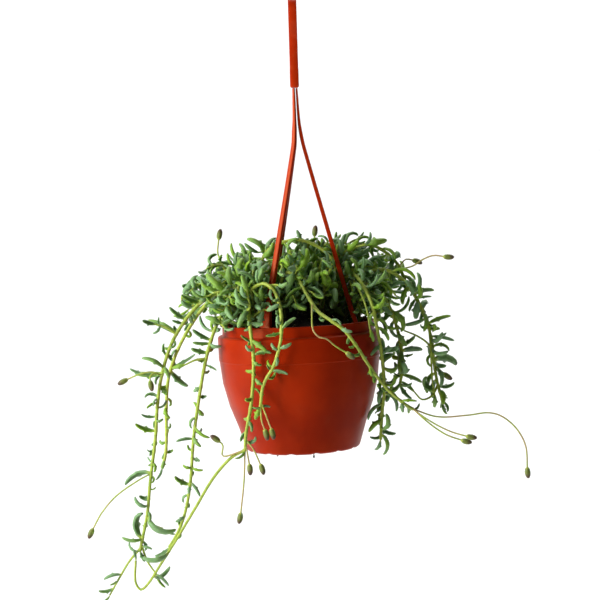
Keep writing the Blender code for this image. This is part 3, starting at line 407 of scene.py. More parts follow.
paint(pot, pot_plastic())
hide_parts("pot")
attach(pot, "root")

# The soil: a heap of peat and bark mix that fills the pot up to under its rim. It is one crumbly
# body with loose crumbs of bark and a few pale grains of pumice lying on it.
GAP = 0.3
SOIL_CROWN = 9.0
SOIL_EDGE = -15.0
SOIL_STEEPNESS = 1.5
SOIL_SIDES = 96
SOIL_LUMPS = 1.5
HEAP_ROWS = 26
HEAP_EDGE = 68.0
HEAP_SHOULDER = ((72.4, -14.6), (70.4, -13.6))
HEAP_FLOOR = 48.9
HEAP_INSET = 0.55
CRUMB_SIZES = (0.5, 2.3)
CRUMB_DENSITY = 62000.0
SOIL_DARK = (0.006, 0.004, 0.003, 1.0)
SOIL_BROWN = (0.017, 0.011, 0.007, 1.0)
CRUMB_DARK = (0.008, 0.005, 0.004, 1.0)
CRUMB_BROWN = (0.035, 0.020, 0.012, 1.0)
PUMICE = (0.30, 0.24, 0.17, 1.0)


def soil_height(radius):
    """Height of the heaped soil at a distance from the pot's axis."""
    share = min(radius / COLLAR_INSIDE, 1.0)
    return SOIL_EDGE + (SOIL_CROWN - SOIL_EDGE) * math.cos(share * math.pi / 2) ** SOIL_STEEPNESS


def heap_profile():
    """Half the soil's section, from the axis outwards over the floor and back to the axis over the heap."""
    floor = FLOOR_UNDERSIDE + POT_WALL + GAP
    radii = [HEAP_EDGE * row / HEAP_ROWS for row in range(HEAP_ROWS, -1, -1)]
    return [(0.0, floor), (HEAP_FLOOR, floor), *reversed(wall_inside(HEAP_INSET)), *HEAP_SHOULDER,
            *((radius, soil_height(radius)) for radius in radii)]


def make_lumpy(work):
    """Pushes the top of the heap up and down in lumps, less towards the rim."""
    for vert in work.verts:
        radius = math.hypot(vert.co.x, vert.co.y)
        if vert.co.z > SOIL_EDGE - 0.5 and radius < HEAP_EDGE:
            lumps = noise.noise(vert.co * 0.16) + 0.5 * noise.noise(vert.co * 0.45)
            vert.co.z += SOIL_LUMPS * (lumps - 0.4) * min(1.0, (HEAP_EDGE - radius) / 6)


soil_body = turned(heap_profile(), SOIL_SIDES)
make_lumpy(soil_body)
soil = new_piece("soil_heap", soil_body, POT_FRAME)
soil.data.shade_smooth()


def crumb_shape():
    """An angular crumb, one millimetre across."""
    work = bmesh.new()
    bmesh.ops.create_icosphere(work, subdivisions=1, radius=0.5)
    for vert in work.verts:
        vert.co *= 1.0 + 0.55 * noise.noise(vert.co * 3.1)
        vert.co.z *= 0.7
    return new_piece("crumb_shape", work)


def start_tree(name, inputs):
    """A geometry tree with its named inputs and one output, and the values of the inputs."""
    tree = bpy.data.node_groups.new(name, "GeometryNodeTree")
    for label, kind in inputs.items():
        tree.interface.new_socket(label, in_out="INPUT", socket_type=f"NodeSocket{kind}")
    tree.interface.new_socket("Made", in_out="OUTPUT", socket_type="NodeSocketGeometry")
    entry = tree.nodes.new("NodeGroupInput")
    return tree, {label: Value(tree, entry.outputs[label]) for label in inputs}


def from_tree(name, mesh, tree, settings):
    """The plain mesh object that a tree makes out of a mesh."""
    piece = linked(name, mesh)
    step = piece.modifiers.new(tree.name, "NODES")
    step.node_group = tree
    for item in tree.interface.items_tree:
        if item.name in settings:
            step[item.identifier] = settings[item.name]
    apply_steps(piece)
    return piece


def shape_of(shape):
    """The geometry of an object that a tree is given."""
    return shape.node("GeometryNodeObjectInfo", {"Object": shape}, "Geometry")


def painted(geometry, finish):
    return geometry.node("GeometryNodeSetMaterial", {"Geometry": geometry, "Material": finish})


def copies_on(points, shape, inputs):
    """A copy of a shape on each point, as geometry of its own."""
    copies = points.node("GeometryNodeInstanceOnPoints",
                         {"Points": points, "Instance": shape_of(shape), **inputs})
    return points.node("GeometryNodeRealizeInstances", {"Geometry": copies})


def crumb_tree():
    """Crumbs of many sizes, turned at random, on every face of a surface."""
    tree, given = start_tree("scatter_crumbs", {
        "Ground": "Geometry", "Crumb": "Object", "Density": "Float", "Smallest": "Float", "Largest": "Float",
        "Seed": "Int", "Finish": "Material",
    })
    root = given["Ground"]
    points = root.node("GeometryNodeDistributePointsOnFaces",
                       {"Mesh": root, "Density": given["Density"], "Seed": given["Seed"]})
    size = root.node("FunctionNodeRandomValue", {"Seed": given["Seed"]}, 1, data_type="FLOAT")
    turn = root.node("FunctionNodeRandomValue", {"Max": (6.28, 6.28, 6.28)}, data_type="FLOAT_VECTOR")
    spread = given["Largest"] - given["Smallest"]
    crumbs = copies_on(points, given["Crumb"],
                       {"Rotation": turn, "Scale": given["Smallest"] + spread * size * size * size})
    root.node("NodeGroupOutput", {0: painted(crumbs, given["Finish"])}, None)
    return tree


def earth(name, dark, brown, pale_share):
    """Dark crumbly mix with brown bark and pale mineral grains."""
    material, where = start_material(name)
    mix = grain(where, 500.0, 3.0).step(0.4, 0.62)
    pale = grain(where, 330.0, 0.0).step(0.74 - pale_share, 0.78 - pale_share)
    colour = pale.blend(mix.blend(dark, brown), PUMICE)
    height = grain(where, 700.0, 5.0, 0.7)
    return end_material(material, where, {"Base Color": colour, "Roughness": 0.93}, height, 0.9, 0.001)


def heap_top():
    """The part of the heap's surface that crumbs lie on."""
    work = bmesh.new()
    work.from_mesh(soil.data)
    low = [face for face in work.faces if face.normal.dot(POT_UP) < 0.3]
    bmesh.ops.delete(work, geom=low, context="FACES")
    return mesh_of("heap_top", work)


paint(soil, earth("soil_mix_packed", SOIL_DARK, SOIL_BROWN, 0.0))
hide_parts("soil")
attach(soil, "root")

crumb = crumb_shape()
crumbs = from_tree("soil_crumbs", heap_top(), crumb_tree(), {
    "Crumb": crumb, "Density": CRUMB_DENSITY, "Smallest": CRUMB_SIZES[0], "Largest": CRUMB_SIZES[1],
    "Seed": 5, "Finish": earth("soil_crumb_mix", CRUMB_DARK, CRUMB_BROWN, 0.01),
})
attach(crumbs, "root")

# The roots: dark rootlets hang out of three of the drain holes, each a thin thread with a crumb of the
# mix at its end.
ROOTLETS = ((0, 5.0), (3, 7.5), (4, 9.0))
ROOTLET_SIDES = 7
ROOTLET_FORM = ((1.0, 0.0), (0.93, 0.55), (0.78, 0.85), (0.62, 0.4), (0.3, 0.3), (0.1, 0.65), (0.0, 0.45))
ROOT_DARK = (0.010, 0.007, 0.005, 1.0)
ROOT_BROWN = (0.040, 0.026, 0.016, 1.0)


def rootlet_profile(length):
    """Half a thread's section, from its end up to inside the hole."""
    inside = FLOOR_UNDERSIDE + POT_WALL
    outside = [(radius, FLOOR_UNDERSIDE - share * length) for share, radius in ROOTLET_FORM]
    return outside + [(0.5, inside), (0.0, inside)]


root_skin = earth("rootlet_skin", ROOT_DARK, ROOT_BROWN, 0.0)
for number, length in ROOTLETS:
    thread = turned(rootlet_profile(length), ROOTLET_SIDES)
    for vert in thread.verts:
        vert.co.x += 0.6 * noise.noise(vert.co * 0.3 + Vector((0, 0, number)))
    thread.transform(Matrix.Translation(drain_place(number, 0.0)))
    rootlet = new_piece(f"rootlet_{number}", thread, POT_FRAME)
    rootlet.data.shade_smooth()
    paint(rootlet, root_skin)
    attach(rootlet, "root")

# The hanger: a flat strap that ends in a hook, moulded in orange-red polypropylene, with a thicker
# ferrule at its foot from which three strands run down. Each strand widens to a wedge that stands on
# a lug of the pot, and a barb below holds it there.
STRAP_WIDTH = 7.9
STRAP_THICKNESS = 2.2
STRAP_LEAN = math.radians(-1.7)
STRAP_PLACE = Matrix.Rotation(STRAP_LEAN, 4, "Y")
HOOK_INSIDE = 9.0
HOOK_TIP_DROP = 13.5
HOOK_TIP_FLARE = 1.4
HOOK_STEPS = 32
STRAP_BEND_TOP = -17.0
STRAP_BEND_BOTTOM = -36.0
STRAP_BEND_STEPS = 14
FERRULE_TOP = -62.0
FERRULE_BOTTOM = -80.2
FERRULE_THICKNESS = 5.2
FERRULE_TAPER = 2.5
FERRULE_BEVEL = 1.4
FERRULE_SIZE = (FERRULE_THICKNESS, STRAP_WIDTH + 0.3)
FERRULE_END_SIZE = (FERRULE_THICKNESS - 0.6, STRAP_WIDTH - 2.2)
STRAND_STATIONS = (
    (0.0, 1.8, 1.8, 2.1), (28.0, 2.6, 2.6, 2.8), (40.0, 3.7, 3.2, 3.7), (55.0, 6.3, 3.4, 4.0),
)
STRAIGHT_SHARE = 0.88
STRAIGHT_SIZE = (4.2, 4.8)
WEDGE_TOP = 15.0
WEDGE_TOP_OUT = 48.8
WEDGE_TOP_SIZE = (4.4, 5.6)
WEDGE_BOTTOM_SIZE = (4.2, 11.6)
NECK_SIZE = (SLOT_DEPTH - 2 * GAP, SLOT_WIDTH - 2 * GAP)
BARB_SIZE = (4.8, 10.4)
BARB_HEIGHT = 1.8
STRAND_STEP = 3.0
ORANGE = (0.42, 0.022, 0.002, 1.0)
ORANGE_PALE = (0.50, 0.050, 0.010, 1.0)


def tangents_of(line):
    last = len(line) - 1
    return [(line[min(i + 1, last)] - line[max(i - 1, 0)]).normalized() for i in range(last + 1)]


def smooth_line(points, step):
    """Even steps along a smooth curve through the points."""
    points = [Vector(point) for point in points]
    padded = [points[0] * 2 - points[1]] + points + [points[-1] * 2 - points[-2]]
    fine = [points[0]]
    for before, start, end, after in zip(padded, padded[1:], padded[2:], padded[3:]):
        span = (end - start).length
        lead = (end - before) * (span / ((end - start).length + (start - before).length))
        trail = (after - start) * (span / ((end - start).length + (after - end).length))
        count = max(2, round(span / step * 2))
        for i in range(1, count + 1):
            t = i / count
            fine.append(start * (2 * t**3 - 3 * t**2 + 1) + lead * (t**3 - 2 * t**2 + t)
                        + end * (3 * t**2 - 2 * t**3) + trail * (t**3 - t**2))
    even = [fine[0]]
    travelled = 0.0
    for a, b in zip(fine, fine[1:]):
        travelled += (b - a).length
        if travelled >= step:
            even.append(b)
            travelled = 0.0
    if travelled > step / 2:
        even.append(fine[-1])
    return even


def strap_stations():
    """The strap's middle line in the Y-Z plane from the hook's tip, with its thickness and width."""
    radius = HOOK_INSIDE + STRAP_THICKNESS / 2
    plain = (STRAP_THICKNESS, STRAP_WIDTH)
    stations = [(radius + HOOK_TIP_FLARE, -HOOK_TIP_DROP, *plain), (radius + 0.2, -HOOK_INSIDE - 1.5, *plain)]
    for i in range(HOOK_STEPS + 1):
        angle = math.pi * i / HOOK_STEPS
        stations.append((radius * math.cos(angle), -HOOK_INSIDE + radius * math.sin(angle), *plain))
    for i in range(STRAP_BEND_STEPS + 1):
        share = i / STRAP_BEND_STEPS
        ease = share * share * (3 - 2 * share)
        height = STRAP_BEND_TOP + share * (STRAP_BEND_BOTTOM - STRAP_BEND_TOP)
        stations.append((-radius * (1 - ease), height, *plain))
    return stations + [(0.0, FERRULE_TOP, *plain), (0.0, FERRULE_TOP - FERRULE_TAPER, *FERRULE_SIZE),
                       (0.0, FERRULE_BOTTOM + FERRULE_BEVEL, *FERRULE_SIZE),
                       (0.0, FERRULE_BOTTOM, *FERRULE_END_SIZE)]


def make_strap():
    stations = strap_stations()
    line = [Vector((0.0, y, z)) for y, z, _, _ in stations]
    rings = []
    for point, tangent, (_, _, thickness, width) in zip(line, tangents_of(line), stations):
        through = Vector((1, 0, 0)).cross(tangent)
        rings.append(rectangle(point, Vector((1, 0, 0)), through, width, thickness))
    return new_piece("hook_strap", lofted(rings), STRAP_PLACE)


def strand_points(angle):
    """A strand's middle line in the pot's frame, from the ferrule to its wedge over the lug."""
    ferrule = POT_INVERSE @ (STRAP_PLACE @ Vector((0, 0, FERRULE_BOTTOM)))
    start = Vector((ferrule.x, ferrule.y, ferrule.z - GAP))
    outward = polar(1.0, angle, 0.0)
    line = [start + outward * out - Vector((0, 0, drop)) for drop, out, _, _ in STRAND_STATIONS]
    wedge_top = polar(WEDGE_TOP_OUT, angle, WEDGE_TOP)
    return line + [line[-1].lerp(wedge_top, STRAIGHT_SHARE), wedge_top]


def size_at(height, points, sizes):
    """Thickness and width of a strand at a height, between those at its stations."""
    for upper, lower, first, second in zip(points, points[1:], sizes, sizes[1:]):
        if height >= lower.z:
            share = min(1.0, max(0.0, (upper.z - height) / (upper.z - lower.z)))
            return tuple(a + share * (b - a) for a, b in zip(first, second))
    return sizes[-1]


def make_strand(name, angle):
    outward = polar(1.0, angle, 0.0)
    along = polar(1.0, angle + math.pi / 2, 0.0)
    points = strand_points(angle)
    sizes = [(thick, wide) for _, _, thick, wide in STRAND_STATIONS] + [STRAIGHT_SIZE, WEDGE_TOP_SIZE]
    rings = [rectangle(point, outward, along, *size_at(point.z, points, sizes))
             for point in smooth_line(points, STRAND_STEP)]
    shoulder = LUG_TOP + GAP
    barb_top = LUG_TOP - LUG_THICKNESS - GAP
    for height, size in (
        (shoulder, WEDGE_BOTTOM_SIZE), (shoulder, NECK_SIZE), (barb_top, NECK_SIZE), (barb_top, BARB_SIZE),
        (barb_top - BARB_HEIGHT, NECK_SIZE),
    ):
        rings.append(rectangle(polar(SLOT_CENTRE, angle, height), outward, along, *size))
    return new_piece(f"strand_{name}", lofted(rings), POT_FRAME)


def hanger_plastic():
    """Satin plastic, a little paler where it has been bent and rubbed."""
    material, where = start_material("hanger_plastic_worn")
    rubbed = grain(where, 140.0, 4.0).step(0.5, 0.8)
    height = grain(where, 1700.0, 2.0) * 0.4 + grain(where, 240.0) * 0.6
    return end_material(material, where, {
        "Base Color": (rubbed * 0.5).blend(ORANGE, ORANGE_PALE),
        "Roughness": 0.34 + rubbed * 0.15,
        "Specular IOR Level": 0.25,
        "Specular Tint": PLASTIC_SHEEN,
    }, height, 0.2, 0.0002)


hanger_finish = hanger_plastic()
hanger_pieces = {"hanger_hook": make_strap()}
for strand, angle in STRAND_ANGLES.items():
    hanger_pieces[f"hanger_strand_{strand}"] = make_strand(strand, angle)
for node, piece in hanger_pieces.items():
    soften(piece, 0.35, 50)
    paint(piece, hanger_finish)
    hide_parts(node)
    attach(piece, "root")

# The plant: stems of a string of dolphins, each a leafy shoot that stands in its own hole in the soil.
# Short ones make the mound over the pot, long ones hang over the rim, and some carry buds on bare stalks.
SEED = 11
STEM_RADIUS = 1.75
STEM_TIP_RADIUS = 1.4
LONG_SHOOT_RADII = (1.45, 1.1)
LONG_SHOOT = 100.0
SHOOT_RADIUS = 1.2
STALK_RADIUS = 0.75
LINE_STEP = 2.0
GOLDEN_ANGLE = math.radians(137.5)
MOUND_LEAF_SPACING = 11.0
TRAIL_LEAF_SPACING = 14.0
FIRST_LEAF = 8
FIRST_BRANCH_LEAF = 3
IN_MOUND = 40
END_LENGTHS = (13, 18)
MOUND_LENGTHS = (18, 27)
TRAIL_LENGTHS = (14, 21)
LEAF_TRIES = 14
TRY_TURN = 0.8
TRY_SHRINK = 0.035
PITCHES = (50, 88)
END_PITCHES = (5, 30)
CURLS = (35, 95)
LIFT = (0.2, 1.2)
TIP_DEPTHS = (-3, 5, -8, 10, -13, 16)
BULGE_TURN = math.radians(40)
LEAST_CURL = 0.5
MOST_CURL = 2.6
MOUND_STEMS = 33
MOUND_CIRCLE = 61.0
HOLE_SPACING = 8.0
ROOTED_RISES = (-8.0, -4.0, 0.0, 3.5, 7.5)
DETOURS = ((0.0, 0.0), (0.35, 0.0), (-0.35, 0.0), (0.0, 0.4), (0.7, 0.0), (-0.7, 0.0), (0.0, 0.8),
           (0.0, -0.5), (1.1, 0.0), (-1.1, 0.0), (0.6, 0.6), (-0.6, 0.6), (1.7, 0.2), (-1.7, 0.2),
           (0.0, 1.2))
DETOUR_KEPT = 0.4
INERTIA = 0.6
MOUND_STEP = 5.0
MOUND_PULL = 0.55
MOUND_WANDER = 0.16
MOUND_ROOM = 3.2
MOUND_SHORTEST = 42.0
MOUND_REACH = 0.82
RIGHT_REACH = 0.16
INNER_LENGTH = 66.0
RIM_LENGTH = 34.0
INNER_LEAN = 8.0
RIM_LEAN = 26.0
INNER_BEND = 50.0
RIM_BEND = 66.0
TOUCH = 0.55
POT_TOUCH = 1.0
ROOM_BELOW = 25.0
CELL = 9.0

# The mound's outline from the front, x and z: all but some of the added leaves stay under it
CANOPY = (
    (-108, -281), (-104, -261), (-86, -243), (-58, -224), (-48, -217), (-28, -218), (20, -218), (41, -214),
    (71, -212), (96, -222), (110, -241), (128, -264), (138, -277),
)

# The plant leaves the strands in sight down to these heights
STRANDS_SHOW = {"front": -256.0, "right": -286.0}
SIGHT_DEPTH = 100
SIGHT_RADIUS = 3.2
STRAND_AIR = 4.0
WEDGE_AIR = 6.2

# The air in front of the long stems is kept free from this point on, so that they stay in sight
STEMS_SHOW_FROM = 12
STEM_SIGHT_RADIUS = 1.6

# Short stems leave this stretch of soil free (x, and y up to a line), where the strands and the soil show
BARE_FRONT = (-34.0, 44.0, -22.0)

# Bud sections: place along the bud and radius
BUD_LENGTH = 10.5
BUD_SECTIONS = ((0.0, 0.9), (0.16, 2.1), (0.5, 2.6), (0.86, 1.7), (1.0, 0.8))

# The long stems, each with its hole in the soil (in the pot's frame) and the points that it passes.
# A branch starts on its stem: "bud" ends a bare stalk in a bud, "leafy" is a side shoot.
LONG_STEMS = {
    "stem_front_left": {
        "hole": (-42, -34),
        "line": [(-39, -48, -278), (-39, -63, -284), (-37, -72, -299), (-34, -72, -327), (-36, -71, -364),
                 (-41, -69, -393), (-42, -68, -408)],
        "branches": [
            ("bud", [(-42, -68, -408), (-43, -67, -436), (-46, -66, -466)]),
            ("bud", [(-42, -68, -402), (-40, -70, -410), (-38, -71, -421)]),
            ("bud", [(-42, -68, -398), (-34, -70, -408), (-28, -71, -421)]),
            ("leafy", [(-42, -68, -407), (-55, -64, -416), (-71, -58, -435), (-88, -50, -464),
                       (-105, -42, -493), (-121, -35, -519), (-133, -30, -538), (-140, -28, -544),
                       (-145, -26, -537), (-145, -23, -518)]),
            ("bud", [(-55, -64, -416), (-62, -66, -414), (-62, -66, -404), (-66, -66, -400)]),
        ],
    },
    "stem_front": {
        "hole": (-36, -20),
        "line": [(-36, -38, -268), (-33, -51, -262), (-24, -59, -259), (-15, -64, -267), (-10, -73, -282),
                 (-9, -81, -297), (-10, -83, -310), (-16, -80, -331), (-25, -78, -348), (-28, -76, -368)],
        "branches": [
            ("bud", [(-28, -76, -366), (-27, -76, -380), (-24, -76, -389)]),
            ("bud", [(-28, -76, -363), (-22, -77, -378), (-18, -77, -389)]),
        ],
    },
    "stem_front_right": {
        "hole": (-12, -14),
        "line": [(-9, -22, -257), (-3, -28, -250), (5, -36, -255), (14, -50, -270), (24, -62, -284),
                 (36, -70, -292), (47, -71, -300), (57, -67, -313), (71, -54, -335), (87, -42, -356),
                 (104, -34, -371), (112, -31, -376)],
        "branches": [
            ("bud", [(112, -31, -376), (134, -28, -383), (163, -24, -382), (181, -22, -380),
                     (193, -21, -383), (205, -20, -392), (213, -20, -403), (217, -20, -414),
                     (218, -20, -432)]),
            ("bud", [(110, -31, -375), (122, -37, -383), (134, -39, -390), (147, -38, -396),
                     (161, -38, -400)]),
            ("bud", [(110, -31, -375), (128, -33, -390), (142, -34, -399), (156, -34, -404)]),
            ("bud", [(19, -56, -277), (18, -72, -286), (19, -81, -299), (24, -82, -305), (31, -80, -307),
                     (38, -77, -313), (49, -74, -320)]),
        ],
    },
    "stem_left_long": {
        "hole": (-48, -6),
        "line": [(-62, -6, -271), (-82, -8, -277), (-101, -10, -298), (-113, -12, -320), (-121, -13, -347),
                 (-125, -13, -374), (-127, -13, -405), (-132, -13, -445), (-135, -12, -476),
                 (-142, -12, -511)],
        "branches": [
            ("leafy", [(-142, -12, -509), (-152, -10, -521), (-161, -8, -536), (-171, -6, -554)]),
            ("leafy", [(-141, -12, -505), (-135, -9, -522), (-127, -8, -534)]),
            ("leafy", [(-135, -12, -474), (-131, -8, -486), (-121, -6, -491)]),
            ("leafy", [(-106, -11, -308), (-116, -13, -302), (-126, -14, -299)]),
            ("bud", [(-121, -13, -345), (-130, -14, -343), (-141, -15, -345), (-153, -15, -350)]),
            ("bud", [(-132, -13, -438), (-143, -17, -444), (-163, -19, -458), (-176, -20, -473),
                     (-185, -20, -489)]),
            ("bud", [(-121, -13, -347), (-127, -18, -344), (-131, -20, -346), (-131, -20, -351)]),
        ],
    },
    "stem_left_back": {
        "hole": (-46, 14),
        "line": [(-60, 13, -270), (-80, 13, -281), (-103, 15, -315), (-116, 17, -348), (-119, 17, -377),
                 (-119, 16, -409), (-120, 14, -426), (-123, 10, -436)],
        "branches": [],
    },
    "stem_left_front": {
        "hole": (-50, -24),
        "line": [(-56, -25, -280), (-66, -28, -292), (-74, -31, -312), (-80, -30, -335), (-87, -28, -376),
                 (-91, -27, -407), (-94, -26, -446), (-99, -25, -473), (-106, -22, -492),
                 (-114, -18, -506)],
        "branches": [
            ("leafy", [(-78, -30, -328), (-88, -34, -330), (-97, -36, -334)]),
        ],
    },
    "stem_right_outer": {
        "hole": (44, 6),
        "line": [(60, 6, -262), (75, 6, -250), (90, 8, -250), (103, 10, -258), (115, 12, -273),
                 (125, 13, -294), (131, 13, -314), (134, 13, -339), (137, 13, -356), (142, 13, -374)],
        "branches": [
            ("bud", [(134, 13, -340), (143, 12, -347)]),
            ("leafy", [(138, 13, -358), (131, 8, -368), (122, 6, -371), (115, 5, -364)]),
            ("leafy", [(133, 13, -326), (127, 9, -318), (117, 6, -311), (105, 5, -306)]),
            ("leafy", [(129, 13, -306), (130, 8, -320), (131, 8, -340), (132, 8, -356), (134, 8, -366)]),
        ],
    },
    "stem_right_arch": {
        "hole": (30, 22),
        "line": [(36, 21, -262), (46, 19, -240), (58, 19, -229), (73, 20, -226), (88, 22, -233),
                 (100, 25, -245), (108, 27, -262)],
        "branches": [
            ("bud", [(103, 26, -250), (114, 22, -246), (123, 20, -240), (133, 18, -236), (143, 17, -237)]),
            ("bud", [(100, 25, -246), (108, 31, -240), (115, 33, -241)]),
        ],
    },
    "stem_right_front": {
        "hole": (38, 13),
        "line": [(43, 13, -268), (48, 11, -258), (56, 2, -253), (60, -12, -255), (66, -27, -263),
                 (73, -38, -279), (77, -38, -297), (81, -34, -318), (84, -29, -340), (85, -25, -360),
                 (83, -21, -383), (82, -21, -405)],
        "branches": [
            ("leafy", [(56, 2, -253), (58, -14, -260), (63, -31, -269), (68, -43, -283), (71, -46, -301)]),
        ],
    },
    "stem_right_inner": {
        "hole": (56, 16),
        "line": [(68, 14, -276), (80, 6, -272), (90, 2, -282), (97, 0, -300), (102, -1, -322),
                 (103, -1, -340), (101, -1, -355)],
        "branches": [],
    },
    "stem_top_left": {
        "hole": (-38, 2),
        "line": [(-46, -1, -272), (-56, -4, -256), (-66, -6, -243)],
        "branches": [
            ("bud", [(-66, -6, -243), (-69, -6, -232), (-68, -6, -220)]),
        ],
    },
    "stem_top_arch": {
        "hole": (-16, 8),
        "line": [(-17, 5, -268), (-26, 0, -251), (-28, -4, -240), (-19, -6, -228), (-5, -7, -222),
                 (8, -8, -221), (22, -8, -226), (33, -9, -234), (39, -9, -241)],
        "branches": [],
    },
    "stem_top_back": {
        "hole": (10, 16),
        "line": [(14, 14, -262), (18, 11, -243), (21, 9, -226)],
        "branches": [
            ("bud", [(21, 9, -228), (21, 8, -217)]),
        ],
    },
}

# Leaves of the trailing stems that stand alone: which shoot, how far along it, how far across and up
# the tip is from there, how far the leaf bulges to the left of that line, and its girth
PLACED_LEAVES = {
    "stem_left_long": (
        (0, 100, -28, 12, -1, 1.3), (0, 122, -2, 12, 2, 1), (0, 134, -20, 10, -3, 1),
        (0, 138, -27, -1, 0, 1.3), (0, 142, -12, -10, -5, 1.9), (0, 162, -12, 1, -3, 1.1),
        (0, 164, 7, -6, -1, 1.1), (0, 166, -10, -5, -1, 1.1), (0, 170, -1, -4, -1, 0.8),
        (0, 178, -14, 2, 2, 0.9), (0, 192, -19, 7, 2, 1.2), (0, 194, 7, 4, -1, 0.9), (0, 196, 7, 2, -2, 1),
        (0, 208, 6, -7, -2, 1.2), (0, 212, -6, 3, 1, 0.8), (0, 222, -5, -4, 0, 0.9),
        (0, 222, -5, 5, 0, 0.9), (0, 222, 11, 2, 0, 1.1), (0, 232, -25, -12, -4, 1.2),
        (0, 262, -12, 9, 3, 1.2), (0, 286, -19, 2, 2, 1.1), (0, 286, 1, 24, 7, 1.3),
        (0, 294, -9, 9, 4, 0.8), (1, 22, -16, -4, -2, 1), (1, 26, -7, -3, 0, 0.9), (1, 32, -14, -2, 2, 1.1),
        (2, 2, 10, -2, 1, 1), (3, 4, 26, -12, -6, 1.3), (4, 14, -6, -7, 2, 1), (4, 14, 0, 8, 0, 0.9),
        (5, 14, -13, 4, 1, 1), (0, 66, -3, 24, -7, 1.5), (0, 84, -15, 12, 1, 1.2), (0, 88, -10, 3, 0, 1.2),
    ),
    "stem_top_left": (
        (0, 44, -15, 3, -3, 1.4), (0, 46, 6, -17, 7, 1.2),
    ),
    "stem_left_back": (
        (0, 120, 23, 13, -1, 0.7), (0, 122, 17, -15, -2, 1.3), (0, 124, 28, -11, -1, 1.1),
        (0, 178, 0, 7, -1, 0.8), (0, 192, -5, -10, 0, 1.3),
    ),
    "stem_left_front": (
        (0, 64, -17, 10, 1, 1.2), (0, 66, -16, 1, 0, 1.1), (0, 72, -15, 4, 1, 1.4), (0, 80, 11, -5, 0, 0.9),
        (0, 108, -4, 5, -1, 1), (0, 124, 14, -10, -2, 1), (0, 136, -16, -2, -1, 1.1),
        (0, 162, 11, -2, -1, 1.1), (0, 176, 9, -13, 1, 1), (0, 178, -14, 8, 2, 1.3),
    ),
    "stem_front_left": (
        (0, 74, -10, 7, 0, 0.9), (0, 86, 16, 3, 2, 1.2), (0, 90, 19, -1, 3, 0.9), (0, 98, -7, -1, 0, 1.4),
        (0, 140, -4, -3, 0, 1.4), (4, 90, -24, -4, 4, 1.3), (4, 116, 13, -11, 1, 1),
        (4, 116, 13, 4, -6, 0.9),
    ),
    "stem_front": (
        (0, 110, 13, 11, 0, 1.2), (0, 112, -14, -3, 0, 1), (0, 124, 11, 5, -1, 1.3),
        (0, 146, -4, 6, 0, 0.8), (0, 146, 15, -3, 0, 1.2), (0, 160, -8, -1, 0, 1.5), (0, 180, -7, 0, 1, 1),
        (0, 180, 9, -1, 0, 1.2),
    ),
    "stem_right_outer": (
        (0, 96, -19, -7, -4, 1.1), (0, 104, 4, 18, -4, 1.2), (0, 108, 19, 4, 2, 1.3),
        (0, 112, -7, -12, -1, 1.2), (0, 112, 14, 2, 0, 0.9), (0, 124, 5, 7, 2, 1.6),
        (0, 132, -21, -6, 0, 1.2), (0, 132, 7, 2, 0, 0.9), (0, 136, 22, 8, 0, 1.1), (0, 138, -7, 3, 3, 1),
        (0, 144, 22, -4, 1, 1), (0, 146, 15, 6, -2, 0.9), (0, 152, 7, 13, -4, 0.9), (0, 154, 15, -3, 5, 1),
        (0, 166, 21, -4, 4, 1.9), (0, 188, 15, 3, -3, 1.1), (0, 198, -1, -9, 0, 1), (0, 198, 6, 1, 1, 1),
        (0, 200, 4, -9, 2, 1.1), (2, 6, -8, 13, 6, 1.7),
    ),
    "stem_right_inner": (
        (0, 92, -13, -6, -1, 0.9), (0, 92, 13, 10, -1, 1.2), (0, 96, 20, 1, 1, 1.6),
        (0, 100, 10, 2, -1, 0.9), (0, 108, -12, -5, 0, 1.1), (0, 118, 19, -7, 0, 1.2),
        (0, 120, -7, 4, 0, 1), (0, 126, 11, -14, -2, 1.1), (0, 126, 11, 1, -2, 1.1),
    ),
    "stem_right_front": (
        (0, 132, -9, -8, -1, 1.1), (0, 138, 10, 7, 0, 1.1), (0, 144, 8, 6, 1, 1.1),
        (0, 158, 11, 2, -4, 1.1), (0, 164, 2, -15, 3, 1.4), (0, 186, -7, -3, -1, 0.8),
        (0, 196, 14, -10, -4, 1.1), (0, 206, -10, -3, 4, 1), (0, 206, -4, -10, 0, 1.2),
        (0, 206, 2, -9, -2, 1),
    ),
    "stem_front_right": (
        (0, 172, -7, -1, -2, 0.9), (0, 192, 10, 8, -1, 1.1), (0, 206, 15, 0, 0, 0.8),
        (0, 214, 1, -8, 0, 1.1),
    ),
}


class Space:
    """The air round the pot, with balls where something is already."""

    def __init__(self):
        self.cells = {}

    def add(self, centre, radius, owner):
        cell = tuple(math.floor(value / CELL) for value in centre)
        self.cells.setdefault(cell, []).append((centre, radius, owner))

    def is_free(self, centre, radius, gap, ignored=None):
        column, row, layer = (math.floor(value / CELL) for value in centre)
        for x in (column - 1, column, column + 1):
            for y in (row - 1, row, row + 1):
                for z in (layer - 1, layer, layer + 1):
                    for other, size, owner in self.cells.get((x, y, z), ()):
                        if owner != ignored and (other - centre).length < radius + size + gap:
                            return False
        return True


class Leaf:
    """A fleshy leaf: an arc that leaves its stem along out and turns towards bend."""

    def __init__(self, root, out, bend, length, curl, fins, girth=1.0):
        self.root = root
        self.out = out
        self.bend = bend
        self.side = out.cross(bend)
        self.length = length
        self.curl = curl
        self.fins = fins
        self.width = (length / LEAF_FULL_LENGTH) ** WIDTH_POWER * girth

    def place(self, share):
        """A point of the middle line and the direction across the leaf's back there."""
        angle = self.curl * share
        radius = self.length / self.curl
        point = self.root + self.out * radius * math.sin(angle) + self.bend * radius * (1 - math.cos(angle))
        back = self.out * math.sin(angle) - self.bend * math.cos(angle)
        return point, back

    def balls(self):
        return [(self.place(share)[0], radius * self.width) for share, radius in LEAF_BALLS]


